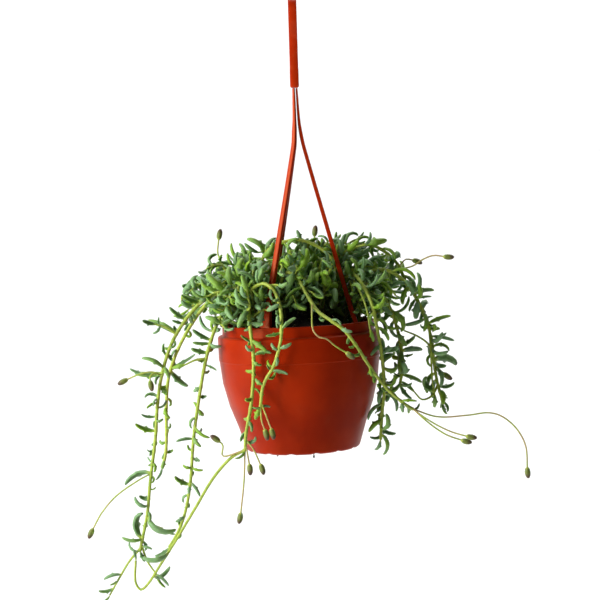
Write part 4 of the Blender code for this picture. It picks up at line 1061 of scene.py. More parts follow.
class Shoot:
    """One stem or branch: its line, thickness along it and what it ends in."""

    def __init__(self, line, start_radius, end_radius, ending):
        self.line = line
        self.start_radius = start_radius
        self.end_radius = end_radius
        self.ending = ending
        self.tangents = tangents_of(line)
        self.sides = sides_of(self.tangents)

    def radius_at(self, index):
        share = index / (len(self.line) - 1)
        return self.start_radius + share * (self.end_radius - self.start_radius)


class Stem:
    """A leafy stem with its branches, leaves and buds, which grew as one piece."""

    def __init__(self, name, hole):
        self.name = name
        self.hole = hole
        self.shoots = []
        self.leaves = []


def sides_of(tangents):
    """A direction across the line at each point, carried along it without twist."""
    side = tangents[0].orthogonal().normalized()
    sides = []
    for tangent in tangents:
        side = (side - tangent * side.dot(tangent)).normalized()
        sides.append(side)
    return sides


def clears_pot(point, reach):
    """Whether a ball stays clear of the pot, the soil and the room just below the pot."""
    local = POT_INVERSE @ point
    radius = math.hypot(local.x, local.y)
    inside = radius < COLLAR_INSIDE + 1
    if local.z > reach:
        return not inside or local.z - soil_height(radius) > reach
    if local.z < -POT_HEIGHT - ROOM_BELOW:
        return True
    if inside and local.z > -COLLAR_HEIGHT:
        return radius < COLLAR_INSIDE - reach and local.z - soil_height(radius) > reach
    return radius > outer_radius(min(local.z, -0.1)) + reach


def is_under_canopy(point, reach):
    """Whether a ball stays under the mound's outline."""
    for (left, left_top), (right, right_top) in zip(CANOPY, CANOPY[1:]):
        if left <= point.x < right:
            share = (point.x - left) / (right - left)
            return point.z + reach < left_top + share * (right_top - left_top)
    return point.z + reach < min(CANOPY[0][1], CANOPY[-1][1])


def rooted(hole):
    """The first points of a stem: straight up out of its hole in the soil."""
    top = soil_height(math.hypot(*hole))
    return [POT_FRAME @ Vector((*hole, top + rise)) for rise in ROOTED_RISES]


def add_shoot(space, stem, line, radii, ending):
    shoot = Shoot(line, *radii, ending)
    stem.shoots.append(shoot)
    for index, point in enumerate(line):
        space.add(point, shoot.radius_at(index), stem.name)
    if ending == "bud":
        for share, radius in BUD_SECTIONS[1:4]:
            space.add(line[-1] + shoot.tangents[-1] * (share * BUD_LENGTH), radius, stem.name)
    return shoot


def long_stem(space, name, plan):
    stem = Stem(name, plan["hole"])
    line = smooth_line(rooted(plan["hole"]) + plan["line"], LINE_STEP)
    add_shoot(space, stem, line, (STEM_RADIUS, STEM_TIP_RADIUS), "leafy")
    for ending, points in plan["branches"]:
        nearest = min(line, key=lambda point: (point - Vector(points[0])).length)
        branch = smooth_line([nearest] + points[1:], LINE_STEP)
        if ending == "bud":
            radii = (STALK_RADIUS, STALK_RADIUS)
        elif len(branch) * LINE_STEP > LONG_SHOOT:
            radii = LONG_SHOOT_RADII
        else:
            radii = (SHOOT_RADIUS, STALK_RADIUS)
        add_shoot(space, stem, branch, radii, ending)
    return stem


def is_bare(hole):
    """Whether a place in the soil is in the stretch at the front that short stems leave free."""
    left, right, front = BARE_FRONT
    return left < hole.x < right and hole.y < front


def mound_holes():
    """Places for the short stems: a sunflower's spiral from the rim inwards, away from the other holes."""
    taken = [Vector(plan["hole"]) for plan in LONG_STEMS.values()]
    lugs = [polar(SLOT_CENTRE, angle, 0.0).xy for angle in STRAND_ANGLES.values()]
    holes = []
    seeds = MOUND_STEMS * 5 // 2
    for i in reversed(range(seeds)):
        radius = MOUND_CIRCLE * math.sqrt((i + 0.5) / seeds)
        hole = Vector((radius * math.cos(i * GOLDEN_ANGLE), radius * math.sin(i * GOLDEN_ANGLE)))
        by_a_lug = any((hole - lug).length < LUG_WIDTH for lug in lugs)
        is_apart = all((hole - other).length > HOLE_SPACING for other in taken)
        if not by_a_lug and not is_bare(hole) and is_apart:
            holes.append(hole)
            taken.append(hole)
    return holes


def grow_line(draw, points, direction, heading, length, pull, wander, step_length, lean_at, fits):
    """Leads a line out and over in even steps, round what is in its way, up to a length."""
    grown = 0.0
    while grown < length:
        for turn, rise in DETOURS:
            lean = lean_at(grown) - rise
            wanted = polar(math.sin(lean), heading + turn, math.cos(lean))
            step = (direction * INERTIA + wanted * pull).normalized()
            point = points[-1] + step * step_length
            if fits(point, grown):
                break
        else:
            break
        points.append(point)
        direction = step
        heading += turn * DETOUR_KEPT + draw.uniform(-wander, wander)
        grown += step_length
    return points


def mound_line(space, draw, hole, name):
    """A short stem's points. The outer ones grow longer and lean more, and those at the right most of all."""
    distance = min(hole.length / MOUND_CIRCLE, 1.0)
    heading = math.atan2(hole.y, hole.x) + draw.uniform(-0.5, 0.5)
    reach = MOUND_REACH + RIGHT_REACH * math.cos(heading)
    length = reach * (INNER_LENGTH + RIM_LENGTH * distance + draw.uniform(-8.0, 12.0))
    first_lean = math.radians(INNER_LEAN + RIM_LEAN * distance**2)
    added_lean = math.radians(INNER_BEND + RIM_BEND * distance + draw.uniform(-15.0, 15.0))

    def lean_at(grown):
        return first_lean + added_lean * (grown / length) ** 1.1

    def fits(point, _):
        in_bounds = clears_pot(point, MOUND_ROOM) and is_under_canopy(point, MOUND_ROOM)
        return in_bounds and space.is_free(point, SHOOT_RADIUS, MOUND_ROOM, name)

    return grow_line(draw, rooted(tuple(hole)), POT_UP.copy(), heading, length, MOUND_PULL, MOUND_WANDER,
                     MOUND_STEP, lean_at, fits)


def mound_stems(space):
    """The short stems, from the outer holes inwards, without those that would find no room to grow."""
    stems = []
    for number, hole in enumerate(mound_holes()):
        name = f"stem_mound_{len(stems) + 1:02d}"
        line = smooth_line(mound_line(space, random.Random(SEED * 1000 + number), hole, name), LINE_STEP)
        if len(stems) < MOUND_STEMS and len(line) * LINE_STEP > MOUND_SHORTEST:
            stem = Stem(name, tuple(hole))
            add_shoot(space, stem, line, (SHOOT_RADIUS + 0.15, SHOOT_RADIUS - 0.25), "leafy")
            stems.append(stem)
    return stems


def settle(space, stem, leaf):
    """Adds a leaf to its stem and marks the air that it takes."""
    for centre, radius in leaf.balls():
        space.add(centre, radius, stem.name)
    stem.leaves.append(leaf)


def try_leaf(space, draw, stem, shoot, index, azimuth, length, end_leaf=False, room=TOUCH, curls=CURLS,
             lift=LIFT, girth=1.0, over=0.0):
    """Sets a leaf at a point of the shoot, turned until it clears everything, or leaves it out."""
    tangent, side = shoot.tangents[index], shoot.sides[index]
    across = tangent.cross(side)
    for attempt in range(LEAF_TRIES):
        turned = azimuth + attempt * TRY_TURN
        pitch = math.radians(draw.uniform(*PITCHES))
        if end_leaf:
            pitch = math.radians(draw.uniform(*END_PITCHES))
        around = side * math.cos(turned) + across * math.sin(turned)
        out = (around * math.sin(pitch) + tangent * math.cos(pitch)).normalized()
        wanted = Vector((0, 0, draw.uniform(*lift))) + tangent * draw.uniform(-0.2, 0.8)
        wanted += Vector([draw.uniform(-0.5, 0.5) for _ in range(3)])
        bend = (wanted - out * wanted.dot(out)).normalized()
        curl = math.radians(draw.uniform(*curls))
        size = length * (1.0 - TRY_SHRINK * attempt)
        fins = draw.choice(("both", "both", "left", "right"))
        leaf = Leaf(shoot.line[index], out, bend, size, curl, fins, girth)
        balls = leaf.balls()
        in_bounds = all(clears_pot(centre, radius + POT_TOUCH) and is_under_canopy(centre, radius - over)
                        for centre, radius in balls)
        if in_bounds and space.is_free(*balls[0], room, stem.name) and all(
                space.is_free(centre, radius, room) for centre, radius in balls[1:]):
            settle(space, stem, leaf)
            return


def placed_leaf(space, draw, stem, shoot, along, across, up, bulge, girth):
    """A leaf with its tip at a given place as seen from the front, nearer or farther as there is room."""
    root = shoot.line[min(round(along / LINE_STEP), len(shoot.line) - 1)]
    for depth in TIP_DEPTHS:
        chord = Vector((across, depth, up))
        leftwards = chord.cross(Vector((0, 1, 0))).normalized()
        turn = draw.choice((-1, 1)) * BULGE_TURN
        sideways = leftwards.cross(chord).normalized()
        bow = leftwards * math.cos(turn) + sideways * math.sin(turn)
        if bulge < 0:
            bow = -bow
        # An arc that bulges by b over a chord c turns by about 8 b / c
        curl = min(max(8 * abs(bulge) / math.cos(turn) / chord.length, LEAST_CURL), MOST_CURL)
        ahead = chord.normalized()
        out = ahead * math.cos(curl / 2) + bow * math.sin(curl / 2)
        bend = ahead * math.sin(curl / 2) - bow * math.cos(curl / 2)
        length = chord.length * (curl / 2) / math.sin(curl / 2)
        leaf = Leaf(root, out, bend, length, curl, draw.choice(("both", "left", "right")), girth)
        balls = leaf.balls()
        if all(clears_pot(centre, radius + POT_TOUCH) for centre, radius in balls) and all(
                space.is_free(centre, radius, TOUCH, stem.name if number == 0 else None)
                for number, (centre, radius) in enumerate(balls)):
            settle(space, stem, leaf)
            return


def add_leaves(space, draw, stem):
    mound = stem.name.startswith("stem_mound")
    placed = PLACED_LEAVES.get(stem.name, ())
    for number, *place in placed:
        placed_leaf(space, draw, stem, stem.shoots[number], *place)
    for shoot in stem.shoots:
        last = len(shoot.line) - 1
        if shoot.ending == "leafy":
            try_leaf(space, draw, stem, shoot, last, draw.uniform(0, 6), draw.uniform(*END_LENGTHS),
                     end_leaf=True)
            azimuth = draw.uniform(0, 6)
            index = FIRST_LEAF if shoot is stem.shoots[0] else FIRST_BRANCH_LEAF
            if placed:
                last = min(last, IN_MOUND) if shoot is stem.shoots[0] else 0
            while index < last - 1:
                in_mound = mound or index < IN_MOUND
                length = draw.uniform(*(MOUND_LENGTHS if in_mound else TRAIL_LENGTHS))
                try_leaf(space, draw, stem, shoot, index, azimuth, length)
                azimuth += GOLDEN_ANGLE
                spacing = MOUND_LEAF_SPACING if in_mound else TRAIL_LEAF_SPACING
                index += round(spacing / LINE_STEP * draw.uniform(0.75, 1.25))


def fill_hanger(space):
    """Marks the strands and the air in front of them, so that nothing grows there."""
    for name, angle in STRAND_ANGLES.items():
        line = [POT_FRAME @ point for point in strand_points(angle)]
        line.append(POT_FRAME @ polar(SLOT_CENTRE, angle, -6.0))
        for start, end in zip(line, line[1:]):
            steps = max(1, round((end - start).length / 3))
            for point in [start.lerp(end, i / steps) for i in range(steps)]:
                is_wedge = (POT_INVERSE @ point).z < WEDGE_TOP + 1
                space.add(point, WEDGE_AIR if is_wedge else STRAND_AIR, f"strand_{name}")
                if point.z > STRANDS_SHOW.get(name, 0.0):
                    for depth in range(6, SIGHT_DEPTH, 6):
                        space.add(point - Vector((0, depth, 0)), SIGHT_RADIUS, f"strand_{name}")


def keep_in_sight(space, stem):
    """Marks the air in front of a long stem, so that nothing hides it from the front."""
    for point in stem.shoots[0].line[STEMS_SHOW_FROM::2]:
        for depth in range(5, SIGHT_DEPTH, 4):
            space.add(point - Vector((0, depth, 0)), STEM_SIGHT_RADIUS, stem.name)


def grow_plant():
    """Every stem with its leaves, each clear of the pot, the hanger and the other stems."""
    space = Space()
    fill_hanger(space)
    stems = [long_stem(space, name, plan) for name, plan in LONG_STEMS.items()]
    for stem in stems:
        keep_in_sight(space, stem)
    stems += mound_stems(space)
    for number, stem in enumerate(stems):
        add_leaves(space, random.Random(SEED + number), stem)
    return space, stems


# A leaf's form at its full length: share of the length, half width, half height, and how far a fin
# stands out. The balls that keep its room free: share of the length, and radius.
LEAF_FULL_LENGTH = 22.0
WIDTH_POWER = 0.6
LEAF_BALLS = ((0.25, 1.8), (0.46, 3.0), (0.64, 1.8), (0.82, 1.4), (0.97, 1.0))
LEAF_FORM = (
    (0.0, 0.65, 0.65, 0.0), (0.07, 1.15, 1.1, 0.0), (0.2, 1.85, 1.65, 0.0), (0.37, 2.2, 1.9, 0.3),
    (0.46, 2.25, 1.95, 1.8), (0.54, 2.2, 1.9, 0.2), (0.7, 2.1, 1.8, 0.0), (0.85, 1.75, 1.5, 0.0),
    (0.95, 1.1, 0.95, 0.0),
)
LEAF_SIDES = 6
UNDERSIDE = 0.5
BUD_RIDGES = 7
BUD_FORM = ((0.0, 0.8), (0.05, 1.5), (0.16, 2.15), (0.35, 2.55), (0.55, 2.6), (0.75, 2.2), (0.88, 1.6),
            (0.96, 1.0))
BUD_SUNK = 0.8
BRACTS = 4
BRACT_LENGTHS = (3.0, 5.0)
STEM_SIDES = 8
NODE_SWELLING = 1.16
EXTRA_SPACING = 5.6
EXTRA_TOUCH = -0.7
EXTRA_CURLS = (70, 170)
EXTRA_LIFT = (-0.9, 0.9)
EXTRA_GIRTH = 1.2
EXTRA_LENGTHS = (17, 28)
OVER_CANOPY = (0.0, 0.0, 0.0, 7.0)
LOWER_LEAVES = 4
LAST_IN_MOUND = 27
TRAILING_SPACING = 9.0
TRAILING_LENGTHS = (8, 14)
FRONT_STEMS = ("stem_front", "stem_front_right", "stem_right_front", "stem_left_long")
NARROW_SIGHT = 0.5
SIDE_SHOOTS = 3
OUTER_SIDE_SHOOTS = 7
OUTER = 34.0
SIDE_END_LENGTHS = (13, 20)
SIDE_SHOOT_LENGTHS = (22.0, 46.0)
SIDE_SHOOT_LEANS = (0.5, 1.3)
SIDE_SHOOT_BENDS = (0.3, 1.7)
SIDE_SHOOT_STEP = 4.0
SIDE_SHOOT_PULL = 0.7
SIDE_SHOOT_WANDER = 0.3
SIDE_SHOOT_ROOM = 1.6
SIDE_SHOOT_AIR = 2.0
SIDE_SHOOT_RADII = (1.05, 0.7)
SIDE_SHOOT_SEED = 500
EXTRA_LEAF_SEED = 700
TINT_SEED = 900


def keep(mesh, columns):
    """Holds columns of numbers or vectors at the points of a mesh, each under its name."""
    for name, column in columns.items():
        is_number = isinstance(column[0], float)
        attribute = mesh.attributes.new(name, "FLOAT" if is_number else "FLOAT_VECTOR", "POINT")
        if is_number:
            attribute.data.foreach_set("value", column)
        else:
            attribute.data.foreach_set("vector", [part for value in column for part in value])


def shape_mesh(name, rings, tips, fins):
    """A closed shape along X, which also holds its own form at each point for the tree that bends it."""
    count = len(rings[0])
    points = [point for ring in rings for point in ring] + [tips[0], tips[1]]
    faces = []
    for lower in range(0, count * (len(rings) - 1), count):
        for i in range(count):
            j = (i + 1) % count
            faces.append((lower + i, lower + count + i, lower + count + j, lower + j))
    first, last = len(points) - 2, len(points) - 1
    top = count * (len(rings) - 1)
    for i in range(count):
        j = (i + 1) % count
        faces.append((i, j, first))
        faces.append((top + j, top + i, last))
    mesh = bpy.data.meshes.new(name)
    mesh.from_pydata(points, [], faces)
    keep(mesh, {"form": points, "fins": fins + [(0.0, 0.0, 0.0)] * 2})
    return linked(name, mesh)


def leaf_shape():
    """A plump leaf with a rounded back, a flatter side with a fin at either edge, and a pointed tip."""
    rings, fins = [], []
    for share, half_width, half_height, fin in LEAF_FORM:
        ring = []
        for i in range(LEAF_SIDES):
            angle = 2 * math.pi * i / LEAF_SIDES
            across = half_width * math.cos(angle)
            height = half_height * math.sin(angle) * (UNDERSIDE if math.sin(angle) < 0 else 1.0)
            ring.append((share, across / LEAF_FULL_LENGTH, height / LEAF_FULL_LENGTH))
            right = fin / LEAF_FULL_LENGTH if i == 0 else 0.0
            left = -fin / LEAF_FULL_LENGTH if i * 2 == LEAF_SIDES else 0.0
            fins.append((right, left, 0.0))
        rings.append(ring)
    return shape_mesh("leaf_shape", rings, ((0.0, 0.0, 0.0), (1.0, 0.0, 0.0)), fins)


def bud_shape():
    """A ribbed, closed bud, widest in its middle."""
    rings = []
    for share, radius in BUD_FORM:
        ring = []
        for i in range(2 * BUD_RIDGES):
            angle = math.pi * i / BUD_RIDGES
            ridge = radius * (1.0 + (0.05 if i % 2 else -0.05)) / BUD_LENGTH
            ring.append((share, ridge * math.cos(angle), ridge * math.sin(angle)))
        rings.append(ring)
    fins = [(0.0, 0.0, 0.0)] * (2 * BUD_RIDGES * len(BUD_FORM))
    return shape_mesh("bud_shape", rings, ((-0.01, 0.0, 0.0), (1.0, 0.0, 0.0)), fins)


def held(root, kind, *names):
    """What the mesh holds under each name at its points."""
    return [root.node("GeometryNodeInputNamedAttribute", {"Name": name}, data_type=kind) for name in names]


def part_of(vector, axis):
    return vector.node("ShaderNodeSeparateXYZ", {"Vector": vector}, axis)


def bent_copies(root, points, shape, chosen, finish):
    """A copy of a shape at each chosen point, bent along the arc that the point holds."""
    copies = copies_on(points, shape, {"Selection": chosen})
    form, fins, kept = held(root, "FLOAT_VECTOR", "form", "fins", "kept")
    foot, out, bend = held(root, "FLOAT_VECTOR", "root", "out", "bend")
    length, breadth, curl = held(root, "FLOAT", "length", "breadth", "curl")
    angle = part_of(form, 0) * curl
    sine = root.node("ShaderNodeMath", {0: angle}, operation="SINE")
    cosine = root.node("ShaderNodeMath", {0: angle}, operation="COSINE")
    side = root.node("ShaderNodeVectorMath", {0: out, 1: bend}, operation="CROSS_PRODUCT")
    across = part_of(form, 1) + part_of(fins, 0) * part_of(kept, 0) + part_of(fins, 1) * part_of(kept, 1)
    middle = foot + (out * (length / curl * sine) + bend * (length / curl * (1.0 - cosine)))
    back = out * sine - bend * cosine
    place = middle + side * (across * breadth) + back * (part_of(form, 2) * breadth)
    return painted(root.node("GeometryNodeSetPosition", {"Geometry": copies, "Position": place}), finish)


def stem_tree():
    """Turns a stem's lines into tubes and its points into leaves and buds."""
    tree, given = start_tree("grow_stem", {
        "Lines": "Geometry", "Points": "Object", "Leaf": "Object", "Bud": "Object", "Sides": "Int",
        "Skin": "Material", "Leaf finish": "Material", "Bud finish": "Material",
    })
    root = given["Lines"]
    curve = root.node("GeometryNodeMeshToCurve", {"Mesh": root})
    ring = root.node("GeometryNodeCurvePrimitiveCircle", {"Resolution": given["Sides"], "Radius": 1.0})
    (thickness,) = held(root, "FLOAT", "thickness")
    tubes = root.node("GeometryNodeCurveToMesh", {
        "Curve": curve, "Profile Curve": ring, "Scale": thickness, "Fill Caps": True,
    })
    tubes = painted(tubes, given["Skin"])
    points = shape_of(given["Points"])
    (is_bud,) = held(root, "FLOAT", "is_bud")
    leaves = bent_copies(root, points, given["Leaf"], 1.0 - is_bud, given["Leaf finish"])
    buds = bent_copies(root, points, given["Bud"], is_bud, given["Bud finish"])
    made = root.node("GeometryNodeJoinGeometry", {0: [tubes, leaves, buds]})
    root.node("NodeGroupOutput", {0: made}, None)
    return tree


def lines_mesh(stem, tone):
    """The lines of a stem and its branches in metres, each point with its thickness and tint."""
    points, edges, thickness, blush = [], [], [], []
    joints = {tuple(leaf.root) for leaf in stem.leaves}
    for shoot in stem.shoots:
        first = len(points)
        for index, point in enumerate(shoot.line):
            swollen = NODE_SWELLING if tuple(point) in joints else 1.0
            points.append(point * MM)
            thickness.append(shoot.radius_at(index) * swollen * MM)
            blush.append(1.0 if shoot.ending == "bud" else 0.0)
        edges += [(i, i + 1) for i in range(first, len(points) - 1)]
    mesh = bpy.data.meshes.new(f"{stem.name}_lines")
    mesh.from_pydata(points, edges, [])
    keep(mesh, {"thickness": thickness, "blush": blush, "tone": [tone] * len(points)})
    return mesh


def bud_leaf(shoot):
    """The place of a bud, as if it were a leaf that goes straight on from its stalk."""
    tip = shoot.tangents[-1]
    bud = Leaf(shoot.line[-1] - tip * BUD_SUNK, tip, shoot.sides[-1], BUD_LENGTH, 0.25, "both")
    bud.width = BUD_LENGTH / LEAF_FULL_LENGTH
    return bud


def bracts_of(shoot, draw):
    """Small pointed leaves at the foot of a bud."""
    tip, side = shoot.tangents[-1], shoot.sides[-1]
    across = tip.cross(side)
    found = []
    for i in range(BRACTS):
        angle = 2 * math.pi * (i + draw.uniform(-0.2, 0.2)) / BRACTS
        around = side * math.cos(angle) + across * math.sin(angle)
        out = (around * 0.8 + tip * 0.7).normalized()
        bend = (tip - out * tip.dot(out)).normalized()
        foot = shoot.line[-1] - tip * draw.uniform(0.3, 1.2)
        found.append(Leaf(foot, out, bend, draw.uniform(*BRACT_LENGTHS), 0.5, "none"))
    return found


def points_object(stem, draw):
    """The roots of a stem's leaves and buds, with the arc, size and tint of each."""
    stalks = [shoot for shoot in stem.shoots if shoot.ending == "bud"]
    bracts = [bract for stalk in stalks for bract in bracts_of(stalk, draw)]
    shapes = stem.leaves + bracts + [bud_leaf(stalk) for stalk in stalks]
    roots = [shape.root * MM for shape in shapes]
    mesh = bpy.data.meshes.new(f"{stem.name}_points")
    mesh.from_pydata(roots, [], [])
    keep(mesh, {
        "root": roots,
        "out": [shape.out for shape in shapes],
        "bend": [shape.bend for shape in shapes],
        "kept": [(shape.fins in ("both", "right"), shape.fins in ("both", "left"), 0) for shape in shapes],
        "length": [shape.length * MM for shape in shapes],
        "breadth": [shape.width * LEAF_FULL_LENGTH * MM for shape in shapes],
        "curl": [shape.curl for shape in shapes],
        "tone": [draw.random() for _ in shapes],
        "is_bud": [0.0] * (len(shapes) - len(stalks)) + [1.0] * len(stalks),
    })
    return linked(f"{stem.name}_points", mesh)


STEM_YELLOW = (0.44, 0.52, 0.075, 1.0)
STEM_OLIVE = (0.25, 0.35, 0.04, 1.0)
# Near-black painted shade for the stems low in the mound
STEM_PAINTED_SHADE = (0.020, 0.026, 0.006, 1.0)
STEM_BLUSH = (0.50, 0.30, 0.16, 1.0)
LEAF_FRESH = (0.20, 0.36, 0.020, 1.0)
LEAF_GLAUCOUS = (0.18, 0.32, 0.135, 1.0)
LEAF_DEEP = (0.040, 0.11, 0.012, 1.0)
LEAF_TIP = (0.07, 0.055, 0.035, 1.0)
BUD_GREEN = (0.17, 0.21, 0.04, 1.0)
BUD_BROWN = (0.10, 0.06, 0.035, 1.0)
# Where the painted shade lies, in metres: low in height, near the middle sideways and behind the front
SHADE_BELOW = (-0.288, -0.244)
SHADE_WITHIN = (0.052, 0.076)
SHADE_BEHIND = (-0.056, -0.036)


def hint(where, name, output="Fac"):
    """A value that a piece holds at its points under a name."""
    return where.node("ShaderNodeAttribute", None, output, attribute_name=name)


def painted_shade(where):
    """Painted shade: one low over the soil amid the mound, where its growth is shaded, nought farther up and
    out.
    """
    low = 1.0 - part_of(where, 2).step(*SHADE_BELOW)
    sideways = where.node("ShaderNodeMath", {0: part_of(where, 0)}, operation="ABSOLUTE")
    inside = 1.0 - sideways.step(*SHADE_WITHIN)
    return low * inside * part_of(where, 1).step(*SHADE_BEHIND)


def fleshy(material, where, inputs, height):
    """Waxy, fleshy plant skin that lets a little light through."""
    inputs.update({"Subsurface Weight": 0.25, "Subsurface Radius": (0.9, 1.5, 0.3),
                   "Subsurface Scale": 0.0012, "Specular IOR Level": 0.3})
    return end_material(material, where, inputs, height, 0.25, 0.0002)


def stem_skin():
    """Yellow-green skin with darker streaks, ruddy on the stalks of buds, with painted shade low in the
    mound.
    """
    material, where = start_material("stem_skin")
    streaks = grain(where, 260.0, 3.0).step(0.42, 0.68)
    colour = (streaks * 0.6 + hint(where, "tone") * 0.4).blend(STEM_YELLOW, STEM_OLIVE)
    # Painted shade: the stems turn near black low in the mound's middle
    colour = (painted_shade(where) * 0.8).blend(colour, STEM_PAINTED_SHADE)
    ruddy = hint(where, "blush") * grain(where, 40.0, 2.0).step(0.35, 0.65) * 0.7
    return fleshy(material, where, {"Base Color": ruddy.blend(colour, STEM_BLUSH), "Roughness": 0.5},
                  grain(where, 900.0))


def leaf_skin():
    """Green under a pale bloom, with a dark clear stripe on the hollow side, a light foot and a brown tip."""
    material, where = start_material("leaf_skin")
    form = hint(where, "form", "Vector")
    along = part_of(form, 0)
    bloom = (hint(where, "tone") * 0.75 + grain(where, 120.0, 3.0) * 0.5).step(0.25, 0.85)
    colour = bloom.blend(LEAF_FRESH, LEAF_GLAUCOUS)
    hollow = 1.0 - (part_of(form, 2) * LEAF_FULL_LENGTH + 0.55).step(0.0, 0.3)
    stripe = hollow * along.step(0.08, 0.3) * (1.0 - along.step(0.75, 0.95))
    colour = (stripe * 0.7).blend(colour, LEAF_DEEP)
    colour = (1.0 - along.step(0.0, 0.22)).blend(colour, STEM_YELLOW)
    colour = (along.step(0.93, 1.0) * 0.8).blend(colour, LEAF_TIP)
    # Painted shade: the leaves darken a little low in the mound's middle
    colour = (painted_shade(where) * 0.15).blend(colour, LEAF_DEEP)
    look = {"Base Color": colour, "Roughness": 0.52 - stripe * 0.15}
    return fleshy(material, where, look, grain(where, 700.0))


def bud_skin():
    """Olive bracts pressed together, purple-brown towards the tip."""
    material, where = start_material("bud_skin")
    along = part_of(hint(where, "form", "Vector"), 0)
    brown = (along + grain(where, 200.0) * 0.3).step(0.55, 1.05)
    colour = (1.0 - along.step(0.0, 0.2)).blend(brown.blend(BUD_GREEN, BUD_BROWN), STEM_YELLOW)
    return fleshy(material, where, {"Base Color": colour, "Roughness": 0.5}, grain(where, 800.0))


def narrowed(cell):
    """What is in a cell, with less air kept free before the front stems and none before the others."""
    kept = []
    for centre, radius, owner in cell:
        if radius != STEM_SIGHT_RADIUS:
            kept.append((centre, radius, owner))
        elif owner in FRONT_STEMS:
            kept.append((centre, NARROW_SIGHT, owner))
    return kept


# The dark hollow under the mound behind the rim's front (low and high corner), where nothing more grows
HOLLOW = ((-18.0, -54.0, -400.0), (46.0, 0.0, -280.0))


def is_inside(point):
    """Whether a point lies within the box of the solids."""
    low, high = solids_box
    return all(low[axis] < point[axis] * MM < high[axis] for axis in range(3))


def has_room(point):
    """Whether a point lies within the box of the solids and outside the hollow."""
    low, high = HOLLOW
    return is_inside(point) and not all(low[axis] < point[axis] < high[axis] for axis in range(3))


def side_line(space, draw, shoot, start, name):
    """A side shoot's points: out from its stem, over and down."""
    heading = draw.uniform(-math.pi, math.pi)
    length = draw.uniform(*SIDE_SHOOT_LENGTHS)
    first_lean, added_lean = draw.uniform(*SIDE_SHOOT_LEANS), draw.uniform(*SIDE_SHOOT_BENDS)

    def lean_at(grown):
        return first_lean + added_lean * grown / length

    def fits(point, grown):
        ignored = name if grown < 2 * SIDE_SHOOT_STEP else None
        in_bounds = clears_pot(point, SIDE_SHOOT_AIR) and is_under_canopy(point, SIDE_SHOOT_AIR)
        return (in_bounds and has_room(point)
                and space.is_free(point, SIDE_SHOOT_RADII[0], SIDE_SHOOT_ROOM, ignored))

    return grow_line(draw, [shoot.line[start]], shoot.tangents[start], heading, length, SIDE_SHOOT_PULL,
                     SIDE_SHOOT_WANDER, SIDE_SHOOT_STEP, lean_at, fits)


def add_side_shoots(space, draw, stem):
    """Thin shoots that fork off the part of a stem that is in the mound, more of them near its sides."""
    shoot = stem.shoots[0]
    is_outer = abs(stem.hole[0]) > OUTER or stem.name in FRONT_STEMS
    for _ in range(OUTER_SIDE_SHOOTS if is_outer else SIDE_SHOOTS):
        start = draw.randrange(6, min(len(shoot.line) - 3, LAST_IN_MOUND))
        points = side_line(space, draw, shoot, start, stem.name)
        if len(points) > 3:
            add_shoot(space, stem, smooth_line(points, LINE_STEP), SIDE_SHOOT_RADII, "side")


def add_more_leaves(space, draw, stem):
    """More leaves than the solids hold, between those and with less room round them, within their box."""
    first = len(stem.leaves)
    for shoot in stem.shoots:
        last = len(shoot.line) - 1
        if shoot.ending == "side":
            try_leaf(space, draw, stem, shoot, last, draw.uniform(0, 6), draw.uniform(*SIDE_END_LENGTHS),
                     True, EXTRA_TOUCH, girth=EXTRA_GIRTH, over=draw.choice(OVER_CANOPY))
            index = 2
        elif shoot is stem.shoots[0]:
            index = FIRST_LEAF - LOWER_LEAVES
        else:
            continue
        azimuth = draw.uniform(0, 6)
        while index < last - 1:
            trails = index > LAST_IN_MOUND and not stem.name.startswith(("stem_mound", "stem_right"))
            length = draw.uniform(*(TRAILING_LENGTHS if trails else EXTRA_LENGTHS))
            try_leaf(space, draw, stem, shoot, index, azimuth, length, False, EXTRA_TOUCH, EXTRA_CURLS,
                     EXTRA_LIFT, EXTRA_GIRTH, draw.choice(OVER_CANOPY))
            azimuth += GOLDEN_ANGLE
            spacing = TRAILING_SPACING if trails else EXTRA_SPACING
            index += round(spacing / LINE_STEP * draw.uniform(0.7, 1.4))
    stem.leaves[first:] = [leaf for leaf in stem.leaves[first:]
                           if is_inside(leaf.place(1.0)[0]) and has_room(leaf.place(0.5)[0])]


leaf = leaf_shape()
bud = bud_shape()
tree = stem_tree()
finishes = {"Skin": stem_skin(), "Leaf finish": leaf_skin(), "Bud finish": bud_skin()}
space, stems = grow_plant()
for cell in space.cells.values():
    cell[:] = narrowed(cell)
for number, stem in enumerate(stems):
    add_side_shoots(space, random.Random(SIDE_SHOOT_SEED + number), stem)
for number, stem in enumerate(stems):
    add_more_leaves(space, random.Random(EXTRA_LEAF_SEED + number), stem)
for number, stem in enumerate(stems):
    draw = random.Random(TINT_SEED + number)
    points = points_object(stem, draw)
    piece = from_tree(stem.name.replace("stem_", "shoot_"), lines_mesh(stem, draw.random()), tree, {
        "Points": points, "Leaf": leaf, "Bud": bud, "Sides": STEM_SIDES, **finishes,
    })
    piece.data.shade_smooth()
    bpy.data.objects.remove(points)
    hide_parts(stem.name)
    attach(piece, "root")
for shape in (leaf, bud, crumb):
    bpy.data.objects.remove(shape)

# How it is shown, in metres: a pale floor that sweeps up behind into a wall, a large soft light from the
# left, a weak one from the front, one that makes the wall white, and the camera in front of the pot.
SWEEP_FLOOR = -0.78
SWEEP_FRONT = -4.0
SWEEP_BACK = 2.4
SWEEP_TOP = 4.0
SWEEP_RADIUS = 0.7
SWEEP_STEPS = 24
SWEEP_WIDTH = 9.0
WHITE = (1.0, 1.0, 1.0, 1.0)
PALE = (0.9, 0.9, 0.9, 1.0)
FILL_STRENGTH = 0.04
CAMERA_PLACE = (0.0074, -1.63, -0.184)
CAMERA_TARGET = (0.0074, 0.0, -0.277)


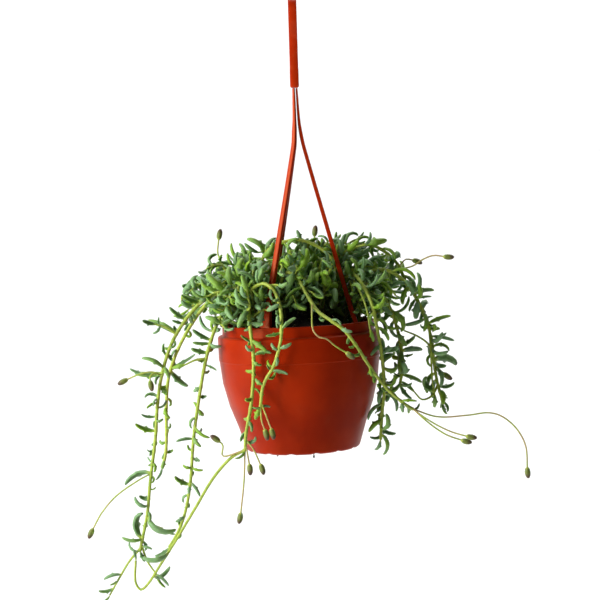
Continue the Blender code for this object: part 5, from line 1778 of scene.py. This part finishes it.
def make_sweep():
    """Floor and back wall in one sheet with a round bend between them."""
    bend = SWEEP_BACK - SWEEP_RADIUS
    outline = [(SWEEP_FRONT, SWEEP_FLOOR), (bend, SWEEP_FLOOR)]
    for i in range(1, SWEEP_STEPS + 1):
        angle = math.pi / 2 * i / SWEEP_STEPS
        outline.append((bend + SWEEP_RADIUS * math.sin(angle),
                        SWEEP_FLOOR + SWEEP_RADIUS * (1 - math.cos(angle))))
    outline.append((SWEEP_BACK, SWEEP_TOP))
    work = bmesh.new()
    left = [work.verts.new((-SWEEP_WIDTH / 2, y, z)) for y, z in outline]
    right = [work.verts.new((SWEEP_WIDTH / 2, y, z)) for y, z in outline]
    for i in range(len(outline) - 1):
        work.faces.new((left[i], right[i], right[i + 1], left[i + 1]))
    mesh = mesh_of("pale_sweep", work)
    mesh.shade_smooth()
    return linked("pale_sweep", mesh)


def aimed(name, data, place, target):
    """A light or camera at a place, turned to look at a target."""
    made = linked(name, data)
    made.location = place
    made.rotation_euler = (Vector(target) - Vector(place)).to_track_quat("-Z", "Y").to_euler()
    return made


def add_light(name, place, target, size, power):
    data = bpy.data.lights.new(name, "AREA")
    data.shape = "RECTANGLE"
    data.size, data.size_y = size
    data.energy = power
    aimed(name, data, place, target)


sweep = make_sweep()
pale_paint, where = start_material("pale_paint")
paint(sweep, end_material(pale_paint, where, {"Base Color": PALE, "Roughness": 0.9}))

add_light("key", (-1.5, -0.75, 0.15), (0.0, 0.0, -0.32), (0.8, 1.3), 49.0)
add_light("front", (-0.3, -2.4, 0.9), (0.0, 0.0, -0.3), (1.4, 1.0), 1.0)
add_light("wall", (0.0, 1.3, 2.2), (0.0, 2.3, 0.0), (4.0, 1.0), 95.0)
world = bpy.data.worlds.new("studio")
world.use_nodes = True
world.node_tree.nodes.clear()
air = Value(world.node_tree)
is_seen = air.node("ShaderNodeLightPath")
fill = air.node("ShaderNodeBackground", {"Color": WHITE, "Strength": FILL_STRENGTH})
backdrop = air.node("ShaderNodeBackground", {"Color": WHITE})
both = air.node("ShaderNodeMixShader", {0: is_seen, 1: fill, 2: backdrop})
air.node("ShaderNodeOutputWorld", {"Surface": both}, None)
bpy.context.scene.world = world
bpy.context.scene.view_settings.view_transform = "Standard"

camera_data = bpy.data.cameras.new("camera")
camera_data.lens = 105.0
camera_data.sensor_width = 36.0
bpy.context.scene.camera = aimed("camera", camera_data, CAMERA_PLACE, CAMERA_TARGET)
